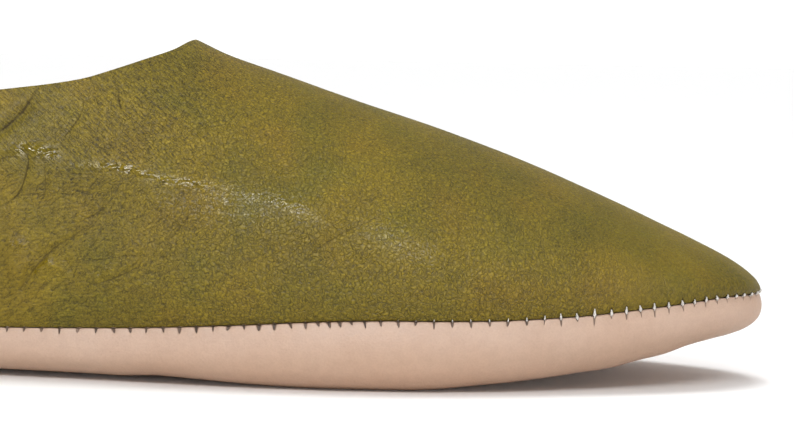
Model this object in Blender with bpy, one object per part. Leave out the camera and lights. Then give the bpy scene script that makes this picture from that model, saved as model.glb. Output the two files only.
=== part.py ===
"""A babouche slipper for the right foot, empty and standing on its sole.

Metres, +X to the toe, +Y to the inner side of the foot, +Z up. The origin is on the floor under the
middle of the sole's outer box. Every piece is worked out from one line, the seam between sole and
upper: a rib starts at each point of the seam and runs in towards the middle, over the foot for the
upper and under it for the sole and the insole.
"""

import math

import bmesh
import bpy
import numpy as np

# Driving sizes of the last and of the leathers
SEAM_LENGTH = 0.2536
BALL_WIDTH = 0.0866
THROAT_HEIGHT = 0.0716
THROAT_REACH = 0.1245
BACK_HEIGHT = 0.053
CROWN_RISE = 0.022
BAND_HEIGHT = 0.0150
TOE_SPRING = 0.0108
SOLE_ROLL = 0.0072
TOE_FAN = 0.0175
HEEL_FAN = 0.030
UPPER_WALL = 0.0015
RIM_LEATHER = 0.0018
SOLE_LEATHER = 0.0030
INSOLE_THICKNESS = 0.0030
INSOLE_EASE = 0.0010
GAP = 0.0003

# How near the upper's arch comes to the corner where the lines from its two ends meet, at its side
# and at its top: 0 is a straight line between the ends
SIDE_FULLNESS = 0.46
TOP_FULLNESS = 0.41

# How the sole's edge swells and turns under: reach and depth of the swell's handle over the band
SWELL_REACH = 0.32
SWELL_DEPTH = 0.58
UNDER_FULLNESS = 0.94
FAN_SOFTNESS = 0.45

# How many ribs go from toe to throat and from throat to heel on each side, and points along a rib
VAMP_RIBS = 20
QUARTER_RIBS = 22
THROAT_STEP = 0.05
UPPER_STEPS = 10
SWELL_STEPS = 7
UNDER_STEPS = 3
INSOLE_STEPS = 3
TOPLINE_TRIALS = 400
WELD = 0.000001

# Seam and underside, a row per section from toe to heel. station: share of SEAM_LENGTH from the toe.
# width: half width at the seam over half BALL_WIDTH. swing: middle of the last towards the inner
# side, over BALL_WIDTH. band: seam above underside over BAND_HEIGHT. under: underside above the
# floor over TOE_SPRING. flare: degrees that the upper leans out where it leaves the seam.
SECTION_COLUMNS = ("station", "width", "swing", "band", "under", "flare")
SECTION_ROWS = (
    (0.000, 0.000, 0.000, 0.57, 1.00, 70),
    (0.010, 0.190, 0.000, 0.58, 0.98, 64),
    (0.022, 0.292, 0.002, 0.60, 0.95, 50),
    (0.036, 0.382, 0.004, 0.62, 0.90, 38),
    (0.055, 0.475, 0.006, 0.64, 0.82, 30),
    (0.090, 0.600, 0.009, 0.73, 0.60, 22),
    (0.150, 0.762, 0.012, 0.83, 0.32, 17),
    (0.220, 0.905, 0.010, 0.92, 0.12, 17),
    (0.290, 0.985, 0.004, 1.00, 0.00, 17),
    (0.350, 1.000, -0.004, 0.97, 0.00, 17),
    (0.430, 0.965, -0.012, 0.85, 0.03, 16),
    (0.540, 0.865, -0.020, 0.70, 0.08, 14),
    (0.650, 0.790, -0.020, 0.63, 0.10, 12),
    (0.740, 0.765, -0.012, 0.66, 0.05, 11),
    (0.800, 0.765, -0.004, 0.70, 0.00, 10),
    (0.900, 0.730, 0.000, 0.72, 0.00, 9),
    (0.950, 0.590, 0.000, 0.72, 0.04, 8),
    (0.985, 0.350, 0.000, 0.72, 0.12, 8),
    (1.000, 0.000, 0.000, 0.72, 0.15, 8),
)

# Ridge of the vamp from the toe to the throat. reach: share of THROAT_REACH from the toe. height:
# share of the way up from the seam at the toe to THROAT_HEIGHT.
RIDGE_COLUMNS = ("reach", "height")
RIDGE_ROWS = (
    (0.00, 0.100),
    (0.13, 0.226),
    (0.25, 0.354),
    (0.40, 0.505),
    (0.55, 0.634),
    (0.70, 0.748),
    (0.85, 0.866),
    (0.95, 0.946),
    (1.00, 1.000),
)

# Behind the throat. depth: share of the way from the throat to the back of the seam. topline: share
# of the way up from BACK_HEIGHT to THROAT_HEIGHT. crown: how far the last's own top, which the
# opening leaves uncovered, lies above THROAT_HEIGHT, over CROWN_RISE.
OPENING_COLUMNS = ("depth", "topline", "crown")
OPENING_ROWS = (
    (0.000, 1.000, 0.00),
    (0.016, 0.893, 0.04),
    (0.050, 0.785, 0.12),
    (0.100, 0.648, 0.22),
    (0.150, 0.532, 0.31),
    (0.200, 0.466, 0.39),
    (0.300, 0.372, 0.50),
    (0.500, 0.185, 0.64),
    (0.700, 0.080, 0.78),
    (0.850, 0.018, 0.90),
    (1.000, 0.000, 1.00),
)


def table(columns, rows):
    """A table's columns by name."""
    return dict(zip(columns, np.array(rows, float).T))


def smooth(places, values, at):
    """A curve through a table's values that never passes beyond them: cubic pieces, whose slope at
    each place is the harmonic mean of the slopes on its two sides, and nought at a turning point."""
    gaps = np.diff(places)
    rises = np.diff(values) / gaps
    slopes = np.zeros(len(places))
    both = rises[:-1] * rises[1:]
    same = both > 0
    slopes[1:-1][same] = 2 * both[same] / (rises[:-1] + rises[1:])[same]
    slopes[0] = rises[0]
    slopes[-1] = rises[-1]
    piece = np.clip(np.searchsorted(places, at, side="right") - 1, 0, len(gaps) - 1)
    share = (at - places[piece]) / gaps[piece]
    start = values[piece] + slopes[piece] * gaps[piece] * share * (1 - share) ** 2
    rise = (values[piece + 1] - values[piece]) * share**2 * (3 - 2 * share)
    end = slopes[piece + 1] * gaps[piece] * share**2 * (share - 1)
    return start + rise + end


def turn_of(share):
    """Angle of a share of a length, which makes a round end smooth in it: 0 at one end, pi at the other."""
    return np.arccos(np.clip(1 - 2 * share, -1, 1))


SECTIONS = table(SECTION_COLUMNS, SECTION_ROWS)
RIDGE = table(RIDGE_COLUMNS, RIDGE_ROWS)
OPENING = table(OPENING_COLUMNS, OPENING_ROWS)


def section(column, x):
    """A column of the section table at the place x, which may lie beyond either end of the seam."""
    share = np.clip(0.5 - x / SEAM_LENGTH, 0, 1)
    return smooth(turn_of(SECTIONS["station"]), SECTIONS[column], turn_of(share))


def middle(x):
    """Y of the last's middle line."""
    return BALL_WIDTH * section("swing", x)


def underside(x):
    """Height of the sole's underside along its middle."""
    return TOE_SPRING * section("under", x)


def seam_height(x):
    """Height of the seam between sole and upper."""
    return underside(x) + BAND_HEIGHT * section("band", x)


def unit(vectors):
    """The same directions, each one long."""
    return vectors / np.linalg.norm(vectors, axis=-1, keepdims=True)


def curves(controls, shares):
    """Points on cubic curves with four control points each, at the shares of each curve."""
    t = shares[..., None]
    weights = ((1 - t) ** 3, 3 * t * (1 - t) ** 2, 3 * t**2 * (1 - t), t**3)
    return sum(weight * control[:, None, :] for weight, control in zip(weights, controls))


def curve_slopes(controls, shares):
    """Directions of the same curves at the same shares."""
    t = shares[..., None]
    weights = (3 * (1 - t) ** 2, 6 * t * (1 - t), 3 * t**2)
    return sum(weight * step[:, None, :] for weight, step in zip(weights, np.diff(controls, axis=0)))


class Ribs:
    """The seam's points, from the toe along the outer side to the heel and back along the inner side,
    with each rib's spine point, which the middle line gives, and its level direction inwards."""

    def __init__(self):
        self.throat = SEAM_LENGTH / 2 - THROAT_REACH
        turn = math.acos(self.throat / (SEAM_LENGTH / 2))
        vamp = turn * (1 - self.graded(VAMP_RIBS)[::-1])
        quarter = turn + (math.pi - turn) * self.graded(QUARTER_RIBS)
        half = np.concatenate([vamp, quarter[1:]])
        self.turns = np.concatenate([half, 2 * math.pi - half[-2:0:-1]])
        x = SEAM_LENGTH / 2 * np.cos(self.turns)
        side = -np.sign(np.sin(self.turns)).round()
        side[[0, len(half) - 1]] = 0
        y = middle(x) + side * BALL_WIDTH / 2 * section("width", x)
        self.side = side
        self.seam = np.stack([x, y, seam_height(x)], axis=1)
        self.spine_x = self.drawn_in(x)
        self.spine = np.stack([self.spine_x, middle(self.spine_x)], axis=1)
        self.inward = unit(self.spine - self.seam[:, :2])
        self.is_vamp = x >= self.throat - WELD
        self.count = len(x)

    @staticmethod
    def graded(count):
        """Shares from 0 to 1 whose steps grow from THROAT_STEP of an even step to an even step."""
        even = np.linspace(0, 1, count + 1)
        return THROAT_STEP * even + (1 - THROAT_STEP) * even**2 * (2 - even)

    @staticmethod
    def drawn_in(x):
        """x kept short of both ends by the fans' lengths, with a soft bend where it leaves the line."""
        toe_softness = TOE_FAN * FAN_SOFTNESS
        heel_softness = HEEL_FAN * FAN_SOFTNESS
        toe = SEAM_LENGTH / 2 - TOE_FAN
        heel = HEEL_FAN - SEAM_LENGTH / 2
        short_of_toe = toe - toe_softness * np.logaddexp(0, (toe - x) / toe_softness)
        return heel + heel_softness * np.logaddexp(0, (short_of_toe - heel) / heel_softness)

    def level(self, lengths):
        """The ribs' directions inwards, times the lengths, as level vectors."""
        return np.concatenate([self.inward * np.reshape(lengths, (-1, 1)), np.zeros((self.count, 1))], axis=1)


def inward_normals(around, along, ribs, joined):
    """Normals that point into the shoe, from the grid's two directions. Ribs that end in one point
    get the mean there, and the rib at each tip, whose neighbours meet, gets its own level side."""
    level = np.column_stack([-ribs.inward[:, 1], ribs.inward[:, 0], np.zeros(ribs.count)])
    lost = np.linalg.norm(around, axis=-1, keepdims=True) < WELD
    normals = unit(np.cross(np.where(lost, level[:, None, :], around), along))
    other = -np.arange(ribs.count) % ribs.count
    ends = normals[:, -1]
    normals[:, -1] = np.where(joined[:, None], unit(ends + ends[other]), ends)
    return normals


def round_loop(values):
    """Differences between each rib's two neighbours."""
    return np.roll(values, -1, axis=0) - np.roll(values, 1, axis=0)


def topline(x):
    """Height of the opening's edge behind the throat."""
    throat = SEAM_LENGTH / 2 - THROAT_REACH
    depth = np.clip((throat - x) / (throat + SEAM_LENGTH / 2), 0, 1)
    return BACK_HEIGHT + (THROAT_HEIGHT - BACK_HEIGHT) * smooth(OPENING["depth"], OPENING["topline"], depth)


def crest(x):
    """Height of the last's top: the vamp's ridge, and behind the throat the crown."""
    throat = SEAM_LENGTH / 2 - THROAT_REACH
    reach = np.clip((SEAM_LENGTH / 2 - x) / THROAT_REACH, 0, 1)
    depth = np.clip((throat - x) / (throat + SEAM_LENGTH / 2), 0, 1)
    toe = seam_height(SEAM_LENGTH / 2)
    ridge = toe + (THROAT_HEIGHT - toe) * smooth(RIDGE["reach"], RIDGE["height"], reach)
    return ridge + CROWN_RISE * smooth(OPENING["depth"], OPENING["crown"], depth)


def arches(ribs):
    """Control points of the last's ribs: each leaves the seam upwards with its flare and reaches the
    crest level. Its handles are shares of the way to the corner where its two end lines meet."""
    start = ribs.seam + [0, 0, GAP / 2]
    end = np.column_stack([ribs.spine, crest(ribs.spine_x)])
    flare = np.radians(section("flare", ribs.seam[:, 0]))
    out_up = ribs.level(-np.sin(flare)) + np.outer(np.cos(flare), [0, 0, 1])
    steepness = (crest(ribs.spine_x + WELD) - crest(ribs.spine_x - WELD)) / (2 * WELD)
    in_up = unit(ribs.level(np.ones(ribs.count)) + np.outer(steepness * ribs.inward[:, 0], [0, 0, 1]))
    rise = (end - start)[:, 2]
    run = np.sum((end - start)[:, :2] * ribs.inward, axis=1)
    level_part = np.linalg.norm(in_up[:, :2], axis=1)
    corner = level_part * np.cos(flare) + in_up[:, 2] * np.sin(flare)
    side = (rise * level_part - run * in_up[:, 2]) / corner
    top = (run * np.cos(flare) + rise * np.sin(flare)) / corner
    first = start + out_up * (SIDE_FULLNESS * side)[:, None]
    second = end - in_up * (TOP_FULLNESS * top)[:, None]
    return np.stack([start, first, second, end])


def shares_to_topline(ribs, controls):
    """Share of each rib where it meets the topline: the first point as high as the edge is there."""
    trials = np.broadcast_to(np.linspace(0, 1, TOPLINE_TRIALS + 1), (ribs.count, TOPLINE_TRIALS + 1))
    points = curves(controls, trials)
    above = points[..., 2] - topline(points[..., 0])
    after = np.maximum(np.argmax(above >= 0, axis=1), 1)
    rows = np.arange(ribs.count)
    low, high = above[rows, after - 1], above[rows, after]
    share = (after - 1 + low / (low - high)) / TOPLINE_TRIALS
    return np.where(ribs.is_vamp, 1, share)


def upper_faces(ribs):
    """Outer and inner face of the upper, from the seam to the ridge or the topline."""
    controls = arches(ribs)
    shares = shares_to_topline(ribs, controls)[:, None] * np.linspace(0, 1, UPPER_STEPS + 1)
    outside = curves(controls, shares)
    around = curves(np.stack([round_loop(control) for control in controls]), shares)
    normals = inward_normals(around, curve_slopes(controls, shares), ribs, ribs.is_vamp)
    return outside, within(outside, normals, UPPER_WALL, ribs, UPPER_WALL)


def sole_outside(ribs):
    """Outer face of the sole: each rib swells out below the seam, turns under along a cubic curve and
    runs level across to the middle line, following the underside's height."""
    start = ribs.seam - [0, 0, GAP / 2]
    band = BAND_HEIGHT * section("band", ribs.seam[:, 0])
    turned = start + ribs.level(np.full(ribs.count, SOLE_ROLL))
    turned[:, 2] = underside(turned[:, 0])
    first = start + ribs.level(-SWELL_REACH * band) - np.outer(SWELL_DEPTH * band, [0, 0, 1])
    second = turned + ribs.level(np.full(ribs.count, -SOLE_ROLL * UNDER_FULLNESS))
    steepness = (underside(turned[:, 0] + WELD) - underside(turned[:, 0] - WELD)) / (2 * WELD)
    second[:, 2] = turned[:, 2] + steepness * (second - turned)[:, 0]
    steps = np.broadcast_to(np.linspace(0, 1, SWELL_STEPS + 1), (ribs.count, SWELL_STEPS + 1))
    swell = curves(np.stack([start, first, second, turned]), steps)
    share = np.linspace(0, 1, UNDER_STEPS + 1)[None, 1:, None]
    across = turned[:, None, :2] * (1 - share) + ribs.spine[:, None, :] * share
    under = np.concatenate([across, underside(across[..., :1])], axis=2)
    return np.concatenate([swell, under], axis=1)


def within(outside, normals, thickness, ribs, first_thickness):
    """Inner face of a wall: the outer face moved in by its thickness, and level at the seam, where
    sole and upper meet face to face."""
    inside = outside + normals * thickness
    inside[:, 0] = outside[:, 0] + ribs.level(np.full(ribs.count, first_thickness))
    return inside


def closed_body(name, loops, is_open, finish):
    """A mesh object from one closed loop of points per rib. A face joins each loop's side to the next
    loop's, apart from those that is_open names by rib and side, and doubled points are merged."""
    ribs, sides = loops.shape[:2]
    faces = []
    for rib in range(ribs):
        following = (rib + 1) % ribs
        for side in range(sides):
            if not is_open(rib, side):
                onward = (side + 1) % sides
                corners = (rib, side), (following, side), (following, onward), (rib, onward)
                faces.append([r * sides + s for r, s in corners])
    shape = bmesh.new()
    points = [shape.verts.new(point) for point in loops.reshape(-1, 3)]
    for face in faces:
        shape.faces.new([points[i] for i in face])
    bmesh.ops.remove_doubles(shape, verts=shape.verts, dist=WELD)
    bmesh.ops.recalc_face_normals(shape, faces=shape.faces)
    mesh = bpy.data.meshes.new(name)
    shape.to_mesh(mesh)
    shape.free()
    mesh.materials.append(finish)
    mesh.shade_smooth()
    mesh.set_sharp_from_angle(angle=math.radians(50))
    body = bpy.data.objects.new(name, mesh)
    bpy.context.scene.collection.objects.link(body)
    return body


def leather(name, colour, roughness):
    """A leather's plain material: linear colour and roughness."""
    finish = bpy.data.materials.new(name)
    finish.use_nodes = True
    shader = finish.node_tree.nodes["Principled BSDF"]
    shader.inputs["Base Color"].default_value = (*colour, 1)
    shader.inputs["Roughness"].default_value = roughness
    shader.inputs["Metallic"].default_value = 0
    finish.diffuse_color = (*colour, 1)
    return finish


def make_outsole(ribs, shift):
    """The turned-up sole: a tray whose edge is thinner than its bottom."""
    outside = sole_outside(ribs)
    down = -np.gradient(outside, axis=1)
    normals = inward_normals(round_loop(outside), down, ribs, np.ones(ribs.count, bool))
    share = np.minimum(np.arange(outside.shape[1]) / SWELL_STEPS, 1)
    thickness = (RIM_LEATHER + (SOLE_LEATHER - RIM_LEATHER) * share)[None, :, None]
    inside = within(outside, normals, thickness, ribs, RIM_LEATHER)
    loops = np.concatenate([outside, inside[:, ::-1]], axis=1) - shift
    last = outside.shape[1] - 1
    finish = leather("natural leather", (0.61, 0.43, 0.33), 0.55)
    return closed_body("outsole", loops, lambda rib, side: side == last, finish)


def make_upper(ribs, shift):
    """Vamp and quarters in one wall, open at the collar and underneath."""
    outside, inside = upper_faces(ribs)
    loops = np.concatenate([outside, inside[:, ::-1]], axis=1) - shift

    def on_ridge(rib, side):
        both = ribs.is_vamp[rib] and ribs.is_vamp[(rib + 1) % ribs.count]
        return side == UPPER_STEPS and both

    finish = leather("olive leather", (0.216, 0.156, 0.032), 0.42)
    return closed_body("upper", loops, on_ridge, finish)


def make_insole(ribs, shift):
    """The leather sock: it lies on the sole's leather, short of its turned-up edge all round."""
    floor = SOLE_LEATHER + GAP
    foot = SOLE_ROLL + INSOLE_EASE
    brow = SOLE_ROLL - INSOLE_EASE
    rows = ((foot, floor), (brow, floor + INSOLE_THICKNESS / 2), (foot, floor + INSOLE_THICKNESS))
    edge = []
    for inset, height in rows:
        points = ribs.seam + ribs.level(np.full(ribs.count, inset))
        points[:, 2] = underside(points[:, 0]) + height
        edge.append(points)
    lower = np.linspace(1, 0, INSOLE_STEPS + 1)[None, :-1, None]
    upper = lower[:, ::-1]
    bottom = edge[0][:, None, :2] * (1 - lower) + ribs.spine[:, None, :] * lower
    top = edge[2][:, None, :2] * (1 - upper) + ribs.spine[:, None, :] * upper
    bottom = np.concatenate([bottom, underside(bottom[..., :1]) + floor], axis=2)
    top = np.concatenate([top, underside(top[..., :1]) + floor + INSOLE_THICKNESS], axis=2)
    loops = np.concatenate([bottom, np.stack(edge, axis=1), top], axis=1) - shift
    last = loops.shape[1] - 1
    finish = leather("sock leather", (0.55, 0.40, 0.27), 0.6)
    return closed_body("insole", loops, lambda rib, side: side == last, finish)


for old in list(bpy.data.objects):
    bpy.data.objects.remove(old, do_unlink=True)

all_ribs = Ribs()
sole_points = sole_outside(all_ribs).reshape(-1, 3)
centre = (sole_points.max(axis=0) + sole_points.min(axis=0)) / 2 * [1, 1, 0]
make_outsole(all_ribs, centre)
make_upper(all_ribs, centre)
make_insole(all_ribs, centre)
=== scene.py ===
"""A babouche slipper in waxed olive goatskin on a turned-up sole of natural leather.

Metres, +X to the toe, +Y to the inner side of the foot, +Z up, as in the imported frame. The sections
follow the slipper as it is made: the sole, the sock on it, the upper with its lining, and the thread
that whips upper and sole together along one seam. The floor, the lights and the camera come last.
"""

import functools
import math

import bmesh
import bpy
import numpy as np
from mathutils import Matrix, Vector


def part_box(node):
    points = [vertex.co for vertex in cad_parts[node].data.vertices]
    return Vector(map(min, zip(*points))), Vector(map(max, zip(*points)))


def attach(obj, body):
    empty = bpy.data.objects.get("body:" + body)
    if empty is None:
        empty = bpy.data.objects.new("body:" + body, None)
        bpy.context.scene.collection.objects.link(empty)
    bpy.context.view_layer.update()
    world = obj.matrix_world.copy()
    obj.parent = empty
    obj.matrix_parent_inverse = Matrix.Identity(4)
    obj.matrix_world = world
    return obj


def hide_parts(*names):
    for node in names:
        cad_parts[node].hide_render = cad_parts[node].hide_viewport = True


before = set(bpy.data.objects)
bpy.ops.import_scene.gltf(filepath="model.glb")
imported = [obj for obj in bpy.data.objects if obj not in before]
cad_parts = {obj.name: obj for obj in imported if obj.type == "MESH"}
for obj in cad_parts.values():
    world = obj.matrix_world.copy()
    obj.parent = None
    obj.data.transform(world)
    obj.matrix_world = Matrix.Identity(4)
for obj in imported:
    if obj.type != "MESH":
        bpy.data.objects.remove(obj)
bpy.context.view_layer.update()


# The sole. One piece of vegetable-tanned cowhide, undyed, so pale and pinkish. It is soaked, drawn up
# round the last as a band and pared thin at its edge, which the thread pulls into small scallops.

SEAM_LENGTH = 0.2536
BALL_WIDTH = 0.0866
BAND_HEIGHT = 0.0150
TOE_SPRING = 0.0108
SOLE_ROLL = 0.0072
TOE_FAN = 0.0175
HEEL_FAN = 0.030
FAN_SOFTNESS = 0.45
RIM_LEATHER = 0.0018
SOLE_LEATHER = 0.0030
SWELL_REACH = 0.32
SWELL_DEPTH = 0.58
UNDER_FULLNESS = 0.94
THROAT_REACH = 0.1245
WELD = 0.000001
MM = 0.001

# Seam and underside, a row per section from toe to heel. station: share of SEAM_LENGTH from the toe.
# width: half width at the seam over half BALL_WIDTH. swing: middle of the last towards the inner
# side, over BALL_WIDTH. band: seam above underside over BAND_HEIGHT. under: underside above the
# floor over TOE_SPRING. flare: degrees that the upper leans out where it leaves the seam.
SECTION_COLUMNS = ("station", "width", "swing", "band", "under", "flare")
SECTION_ROWS = (
    (0.000, 0.000, 0.000, 0.57, 1.00, 70),
    (0.010, 0.190, 0.000, 0.58, 0.98, 64),
    (0.022, 0.292, 0.002, 0.60, 0.95, 50),
    (0.036, 0.382, 0.004, 0.62, 0.90, 38),
    (0.055, 0.475, 0.006, 0.64, 0.82, 30),
    (0.090, 0.600, 0.009, 0.73, 0.60, 22),
    (0.150, 0.762, 0.012, 0.83, 0.32, 17),
    (0.220, 0.905, 0.010, 0.92, 0.12, 17),
    (0.290, 0.985, 0.004, 1.00, 0.00, 17),
    (0.350, 1.000, -0.004, 0.97, 0.00, 17),
    (0.430, 0.965, -0.012, 0.85, 0.03, 16),
    (0.540, 0.865, -0.020, 0.70, 0.08, 14),
    (0.650, 0.790, -0.020, 0.63, 0.10, 12),
    (0.740, 0.765, -0.012, 0.66, 0.05, 11),
    (0.800, 0.765, -0.004, 0.70, 0.00, 10),
    (0.900, 0.730, 0.000, 0.72, 0.00, 9),
    (0.950, 0.590, 0.000, 0.72, 0.04, 8),
    (0.985, 0.350, 0.000, 0.72, 0.12, 8),
    (1.000, 0.000, 0.000, 0.72, 0.15, 8),
)

# Whip stitches from toe to heel. station: share of the half seam's length from the toe. In mm,
# pitch: from stitch to stitch; width: of the thread that shows; above, below: from the seam to its
# ends; proud: how far it stands out; slit, open: length and half width of the slit that it cuts into
# the sole's edge; dent: height of the dent that it pulls into the upper. lean: of the slit, mm
# towards the toe per mm down. dark: how dark the painted shade in the slit is.
STITCH_COLUMNS = (
    "station", "pitch", "width", "above", "below", "proud", "slit", "open", "dent", "lean", "dark",
)
STITCH_ROWS = (
    (0.000, 2.86, 0.60, 0.8, 0.35, 0.22, 0.9, 0.12, 0.9, 0.00, 0.45),
    (0.012, 2.97, 0.62, 0.8, 0.35, 0.22, 0.9, 0.12, 0.9, 0.00, 0.45),
    (0.024, 3.73, 0.62, 0.8, 0.35, 0.22, 0.9, 0.12, 1.0, 0.00, 0.45),
    (0.038, 2.52, 0.62, 0.8, 0.35, 0.22, 0.9, 0.12, 1.1, 0.00, 0.45),
    (0.060, 3.10, 0.60, 0.9, 0.40, 0.22, 1.2, 0.12, 1.3, 0.05, 0.50),
    (0.088, 2.93, 0.58, 1.0, 0.45, 0.20, 1.4, 0.12, 1.6, 0.05, 0.50),
    (0.110, 3.42, 0.58, 1.0, 0.50, 0.20, 1.5, 0.12, 1.7, 0.02, 0.55),
    (0.133, 3.15, 0.58, 1.1, 0.60, 0.20, 1.5, 0.14, 1.7, 0.00, 0.60),
    (0.155, 3.49, 0.62, 1.2, 0.70, 0.20, 1.5, 0.16, 1.6, 0.00, 0.65),
    (0.168, 3.96, 0.64, 1.2, 0.75, 0.18, 1.5, 0.18, 1.6, 0.00, 0.70),
    (0.194, 3.43, 0.46, 1.0, 0.60, 0.10, 1.4, 0.20, 1.2, 0.00, 0.75),
    (0.219, 3.97, 0.36, 0.7, 0.35, 0.04, 1.3, 0.22, 0.8, 0.02, 0.80),
    (0.273, 3.80, 0.28, 0.5, 0.20, -0.06, 1.2, 0.26, 0.5, 0.08, 0.85),
    (0.312, 3.63, 0.24, 0.4, 0.12, -0.20, 1.3, 0.26, 0.4, 0.12, 0.90),
    (0.330, 3.32, 0.24, 0.4, 0.12, -0.30, 1.3, 0.28, 0.4, 0.25, 0.95),
    (0.350, 2.33, 0.22, 0.4, 0.10, -0.30, 1.2, 0.28, 0.3, 0.35, 0.95),
    (0.366, 2.19, 0.22, 0.4, 0.10, -0.30, 1.2, 0.28, 0.3, 0.40, 0.95),
    (0.385, 3.30, 0.22, 0.4, 0.10, -0.30, 1.1, 0.32, 0.3, 0.20, 0.95),
    (0.423, 3.15, 0.22, 0.4, 0.10, -0.30, 1.1, 0.34, 0.3, 0.10, 0.95),
    (0.456, 3.61, 0.22, 0.4, 0.10, -0.30, 1.2, 0.36, 0.3, 0.15, 0.95),
    (0.520, 3.66, 0.22, 0.4, 0.10, -0.30, 1.2, 0.32, 0.3, 0.30, 0.90),
    (0.547, 4.10, 0.22, 0.3, 0.10, -0.30, 1.0, 0.26, 0.3, 0.10, 0.85),
    (0.600, 3.78, 0.24, 0.3, 0.12, -0.22, 0.9, 0.22, 0.3, 0.00, 0.80),
    (1.000, 3.80, 0.30, 0.4, 0.15, -0.04, 1.0, 0.24, 0.4, 0.00, 0.80),
)
STITCH_START = -0.5

# The sole's underside is not flat all along: a soft lump and a hollow behind the ball, where the
# leather was drawn up. place: mm of x. rise: mm added to the underside, under the outer side.
HOLLOW_COLUMNS = ("place", "rise")
HOLLOW_ROWS = (
    (-60, 0), (-16, -0.05), (-7, 0), (2.5, 0.60), (7.3, 0.52), (11.7, 0.40), (26, 0), (88, 0), (96, -0.30),
    (102, -0.05), (107, -0.15), (112, 0.10), (117, 0.10), (122, -0.20), (127, -0.55),
)


def table(columns, rows):
    """A table's columns by name."""
    return dict(zip(columns, np.array(rows, float).T))


def smooth(places, values, at):
    """A curve through a table's values that never passes beyond them: cubic pieces, whose slope at
    each place is the harmonic mean of the slopes on its two sides, and nought at a turning point."""
    gaps = np.diff(places)
    rises = np.diff(values) / gaps
    slopes = np.zeros(len(places))
    both = rises[:-1] * rises[1:]
    same = both > 0
    slopes[1:-1][same] = 2 * both[same] / (rises[:-1] + rises[1:])[same]
    slopes[0] = rises[0]
    slopes[-1] = rises[-1]
    at = np.clip(at, places[0], places[-1])
    piece = np.clip(np.searchsorted(places, at, side="right") - 1, 0, len(gaps) - 1)
    share = (at - places[piece]) / gaps[piece]
    start = values[piece] + slopes[piece] * gaps[piece] * share * (1 - share) ** 2
    rise = (values[piece + 1] - values[piece]) * share**2 * (3 - 2 * share)
    end = slopes[piece + 1] * gaps[piece] * share**2 * (share - 1)
    return start + rise + end


SECTIONS = table(SECTION_COLUMNS, SECTION_ROWS)
STITCHES = table(STITCH_COLUMNS, STITCH_ROWS)
HOLLOWS = table(HOLLOW_COLUMNS, HOLLOW_ROWS)


def turn_of(share):
    """Angle of a share of a length: 0 at the toe, pi at the heel, so that round ends stay smooth."""
    return np.arccos(np.clip(1 - 2 * share, -1, 1))


def section(column, x):
    """A column of the section table at the place x, which may lie beyond either end of the seam."""
    share = np.clip(0.5 - x / SEAM_LENGTH, 0, 1)
    return smooth(turn_of(SECTIONS["station"]), SECTIONS[column], turn_of(share))


def underside(x):
    """Height of the sole's underside along its middle."""
    return TOE_SPRING * section("under", x)


def seam_height(x):
    """Height of the seam between sole and upper: the underside's height and the band's."""
    return underside(x) + BAND_HEIGHT * section("band", x)


def unit(vectors):
    """The same directions, each one long."""
    return vectors / np.maximum(np.linalg.norm(vectors, axis=-1, keepdims=True), 1e-12)


def drawn_in(x):
    """x kept short of both ends by the fans' lengths, with a soft bend where it leaves the line."""
    toe_softness = TOE_FAN * FAN_SOFTNESS
    heel_softness = HEEL_FAN * FAN_SOFTNESS
    toe = SEAM_LENGTH / 2 - TOE_FAN
    heel = HEEL_FAN - SEAM_LENGTH / 2
    short_of_toe = toe - toe_softness * np.logaddexp(0, (toe - x) / toe_softness)
    return heel + heel_softness * np.logaddexp(0, (short_of_toe - heel) / heel_softness)


def seam_points(turns):
    """Points of the seam: x = half the length times cos(turn), y = the last's middle line and half
    its width there, out to one side as sin(turn) says, z = the seam's height."""
    x = SEAM_LENGTH / 2 * np.cos(turns)
    side = -np.sign(np.sin(turns).round(9))
    y = BALL_WIDTH * (section("swing", x) + side / 2 * section("width", x))
    return np.stack([x, y, seam_height(x)], axis=-1)


def spaced_turns(low, high, count, density):
    """count + 1 turns from low to high, spaced evenly along the seam where the density is 1 and
    closer by that factor where it is more."""
    trial = np.linspace(low, high, 6001)
    points = seam_points(trial)
    lengths = np.linalg.norm(np.diff(points, axis=0), axis=1)
    weight = density((points[1:, 0] + points[:-1, 0]) / 2)
    total = np.concatenate([[0], np.cumsum(lengths * weight)])
    return np.interp(np.linspace(0, total[-1], count + 1), total, trial)


def half_arc(turns):
    """Length along the seam from the toe, the same on both sides of the shoe."""
    trial = np.linspace(0, math.pi, 12001)
    lengths = np.linalg.norm(np.diff(seam_points(trial), axis=0), axis=1)
    total = np.concatenate([[0], np.cumsum(lengths)])
    folded = math.pi - abs(turns % (2 * math.pi) - math.pi)
    return np.interp(folded, trial, total)


HALF_SEAM = half_arc(np.array([math.pi]))[0]
THROAT_X = SEAM_LENGTH / 2 - THROAT_REACH
THROAT_TURN = math.acos(THROAT_X / (SEAM_LENGTH / 2))


def stitch_count_at(arc):
    """The running count of stitches from the toe at the place arc: the pitch's reciprocal, summed. A
    stitch sits where the count is whole, the first of them half a pitch from the tip of the toe."""
    trial = np.linspace(0, HALF_SEAM, 4001)
    pitch = MM * smooth(STITCHES["station"], STITCHES["pitch"], trial / HALF_SEAM)
    total = np.concatenate([[0], np.cumsum(np.diff(trial) / ((pitch[1:] + pitch[:-1]) / 2))])
    return STITCH_START + np.interp(arc, trial, total)


STITCH_COUNT = int(stitch_count_at(HALF_SEAM)) + 1
chance = np.random.default_rng(4).normal(0, 1, (5, 2, STITCH_COUNT + 1))


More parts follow.
